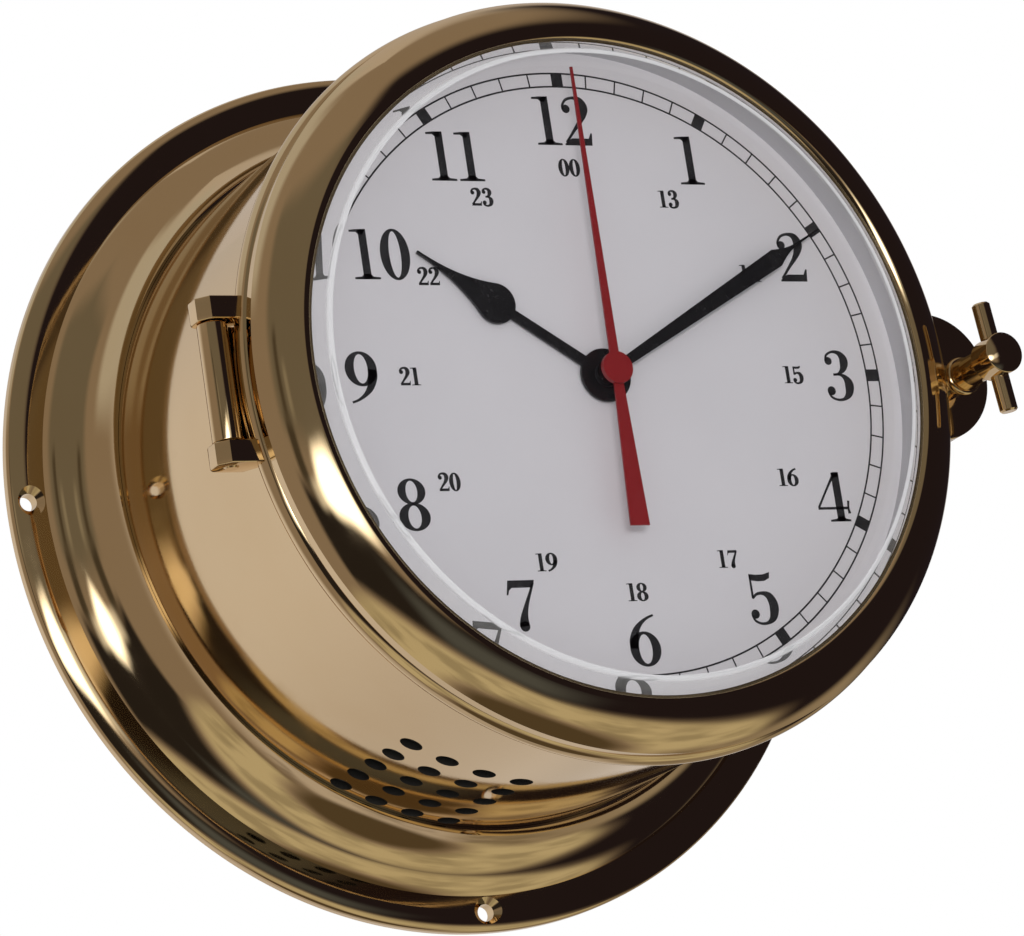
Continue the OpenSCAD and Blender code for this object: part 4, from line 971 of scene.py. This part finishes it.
studio = {
    "around": (0.25, 0.205, 0.165), "behind": (0.62, 0.59, 0.585), "behindFrom": (112, 150),
    "behindDim": 0.42, "behindLevel": 2, "behindFall": (12, 44), "ambient": 0.49,
    "cards": [  # from and to sideways, from and to upward, softness in degrees, colour
        (-185, -88, 34, 76, 8, (0.44, 0.43, 0.41)),     # bright ceiling behind on the left
        (-66, 4, 3, 50, 5, (0.15, 0.135, 0.11)),        # brown wall above the lamp
        (-59, -53, 6, 24, 2.5, (0.07, 0.058, 0.042)),   # upright bar
        (-61, -50, -8, 6, 3, (0.06, 0.05, 0.036)),      # its foot
        (-48, -43, 7, 16, 2.5, (0.25, 0.23, 0.19)),     # pale gap beside it
        (-110, 125, -66, -41, 4, (0.50, 0.46, 0.33)),   # table top
        (-67, 12, -37, -9, 4, (0.020, 0.017, 0.016)),   # dark room below the lamp
        (4, 136, -40, 61, 7, (0.0150, 0.0108, 0.0140)),  # dark room on the right
        (102, 150, -62, -14, 8, (0.28, 0.24, 0.185)),   # pale wall beyond it
        (-18, 15, -36, -17, 7, (0.075, 0.085, 0.095)),  # faint window in it
    ],
    "under": (0.085, 0.064, 0.038), "underFrom": (-67, -74), "leaves": 5.0, "leafShare": 0.4,
    "leafBand": (-70, -44, 6), "leafEdge": (0.42, 0.66), "stripAz": -20.0, "stripEl": -1.0,
    "stripLean": 0.24, "stripHalf": 3.8, "stripBand": (-50.0, 6.0, 6), "stripEdge": (0.4, 1.3),
    "stripDim": (0.75, 0.74, 0.71), "coreAz": -24.0, "coreWide": 19.0, "coreTall": 8.5,
    "coreEdge": (0.18, 1.2), "coreBright": (5.0, 5.0, 4.9), "coreAgain": (0.85, 0.85, 0.82),
    "wander": 12.0, "wanderScale": 1.6, "wanderDetail": 0.5, "again": (0.11, 0.088, 0.055), "againShare": 0.5,
    "againFrom": (-8, 8), "floorZ": -0.55, "floorR": 0.62, "lampAz": -22.0, "lampEl": -3.0,
    "lampFar": 0.9, "lampAim": (0, -0.08, 0), "lampWide": 0.30, "lampTall": 0.15, "lampTilt": 16.0,
    "lampPower": 1.95,
}


def makeWorld(s):
    world = bpy.data.worlds.new("studio")
    scene.world = world
    world.use_nodes = True
    world.node_tree.nodes.clear()
    g = Wire(world.node_tree)
    way = g.make("ShaderNodeTexCoord", out=0)  # the direction looked in
    part = g.make("ShaderNodeSeparateXYZ", {0: way})
    x, y, z = part, part.pick("Y"), part.pick("Z")
    az = x.math("ARCTAN2", y * -1) * (180 / pi)
    el = z.math("ARCSINE") * (180 / pi)
    wander = noiseOf(g, way, s.wanderScale, s.wanderDetail)
    other = g.make("ShaderNodeSeparateColor", {0: wander.pick("Color")}, out=1)
    az = az + (wander - 0.5) * s.wander
    el = el + (other - 0.5) * s.wander
    away = (el - s.behindLevel).math("ABSOLUTE").rise(*s.behindFall)
    middle = 1 - s.behindDim * away  # the wall behind is brightest level with the clock
    shown = (az.math("ABSOLUTE").rise(*s.behindFrom) * middle).blend(colour(s.around), colour(s.behind))
    for left, right, low, high, soft, rgb in s.cards:
        shown = (az.within(left, right, soft) * el.within(low, high, soft)).blend(shown, colour(rgb))
    leaf = noiseOf(g, way, s.leaves).rise(*s.leafEdge) * el.within(*s.leafBand) * s.leafShare
    shown = leaf.blend(shown, colour(s.under))
    shown = el.rise(*s.underFrom).blend(shown, colour(s.under))
    off = (el - (az - s.stripAz) * s.stripLean - s.stripEl).math("ABSOLUTE")
    strip = (1 - (off / s.stripHalf).rise(*s.stripEdge)) * az.within(*s.stripBand)
    path = g.make("ShaderNodeLightPath")
    twice = path.pick("Glossy Depth").math("GREATER_THAN", 1.5)  # brass seen in brass
    shown = (twice * el.rise(*s.againFrom) * s.againShare).blend(shown, colour(s.again))
    shown = strip.blend(shown, colour(s.stripDim))
    aside = (az - s.coreAz) / s.coreWide
    core = (aside * aside + (off / s.coreTall).math("POWER", 2.0)).math("SQRT")
    bright = twice.blend(colour(s.coreBright), colour(s.coreAgain))
    shown = (1 - core.rise(*s.coreEdge)).blend(shown, bright)
    shade = g.make("ShaderNodeBackground", {"Color": shown, "Strength": 1.0})
    even = g.make("ShaderNodeBackground", {"Color": white, "Strength": s.ambient})
    seen = g.make("ShaderNodeBackground", {"Color": white, "Strength": 1.0})
    lit = g.make("ShaderNodeMixShader", {0: path.pick("Is Diffuse Ray"), 1: shade, 2: even})
    bounced = (path.pick("Glossy Depth") + path.pick("Diffuse Depth")).math("GREATER_THAN", 0.5)
    through = path.pick("Is Camera Ray").math("MAXIMUM", path.pick("Is Transmission Ray") * (1 - bounced))
    whole = g.make("ShaderNodeMixShader", {0: through, 1: lit, 2: seen})
    node = g.tree.nodes.new("ShaderNodeOutputWorld")
    g.tree.links.new(whole.socket, node.inputs["Surface"])


def makeLamp(s):
    az, el = radians(s.lampAz), radians(s.lampEl)
    way = Vector((sin(az) * cos(el), -cos(az) * cos(el), sin(el)))
    data = bpy.data.lights.new("keyLamp", "AREA")
    data.shape, data.size, data.size_y, data.energy = "RECTANGLE", s.lampWide, s.lampTall, s.lampPower
    lamp = bpy.data.objects.new("keyLamp", data)
    tilt = Matrix.Rotation(radians(s.lampTilt), 4, "Z")
    turn = way.to_track_quat("Z", "Y").to_matrix().to_4x4() @ tilt
    lamp.matrix_world = Matrix.Translation(way * s.lampFar + Vector(s.lampAim)) @ turn
    lamp.visible_camera = lamp.visible_glossy = False  # the metal sees the lamp in the world instead
    scene.collection.objects.link(lamp)


def makeFloor(s):
    bm = bmesh.new()
    bmesh.ops.create_circle(bm, cap_ends=True, segments=96, radius=s.floorR)
    mesh = bpy.data.meshes.new("floor")
    bm.to_mesh(mesh)
    bm.free()
    mesh.transform(Matrix.Translation((0, 0, s.floorZ)))
    floor = newObject("floor", mesh)
    pale = plainFinish("paleFloor", (0.80, 0.80, 0.80), (0.83, 0.83, 0.83), 6, 0.6, 0.05)
    floor.data.materials.append(pale)
    floor.visible_glossy = False


makeWorld(named(studio))
makeLamp(named(studio))
makeFloor(named(studio))
print("studio lit")
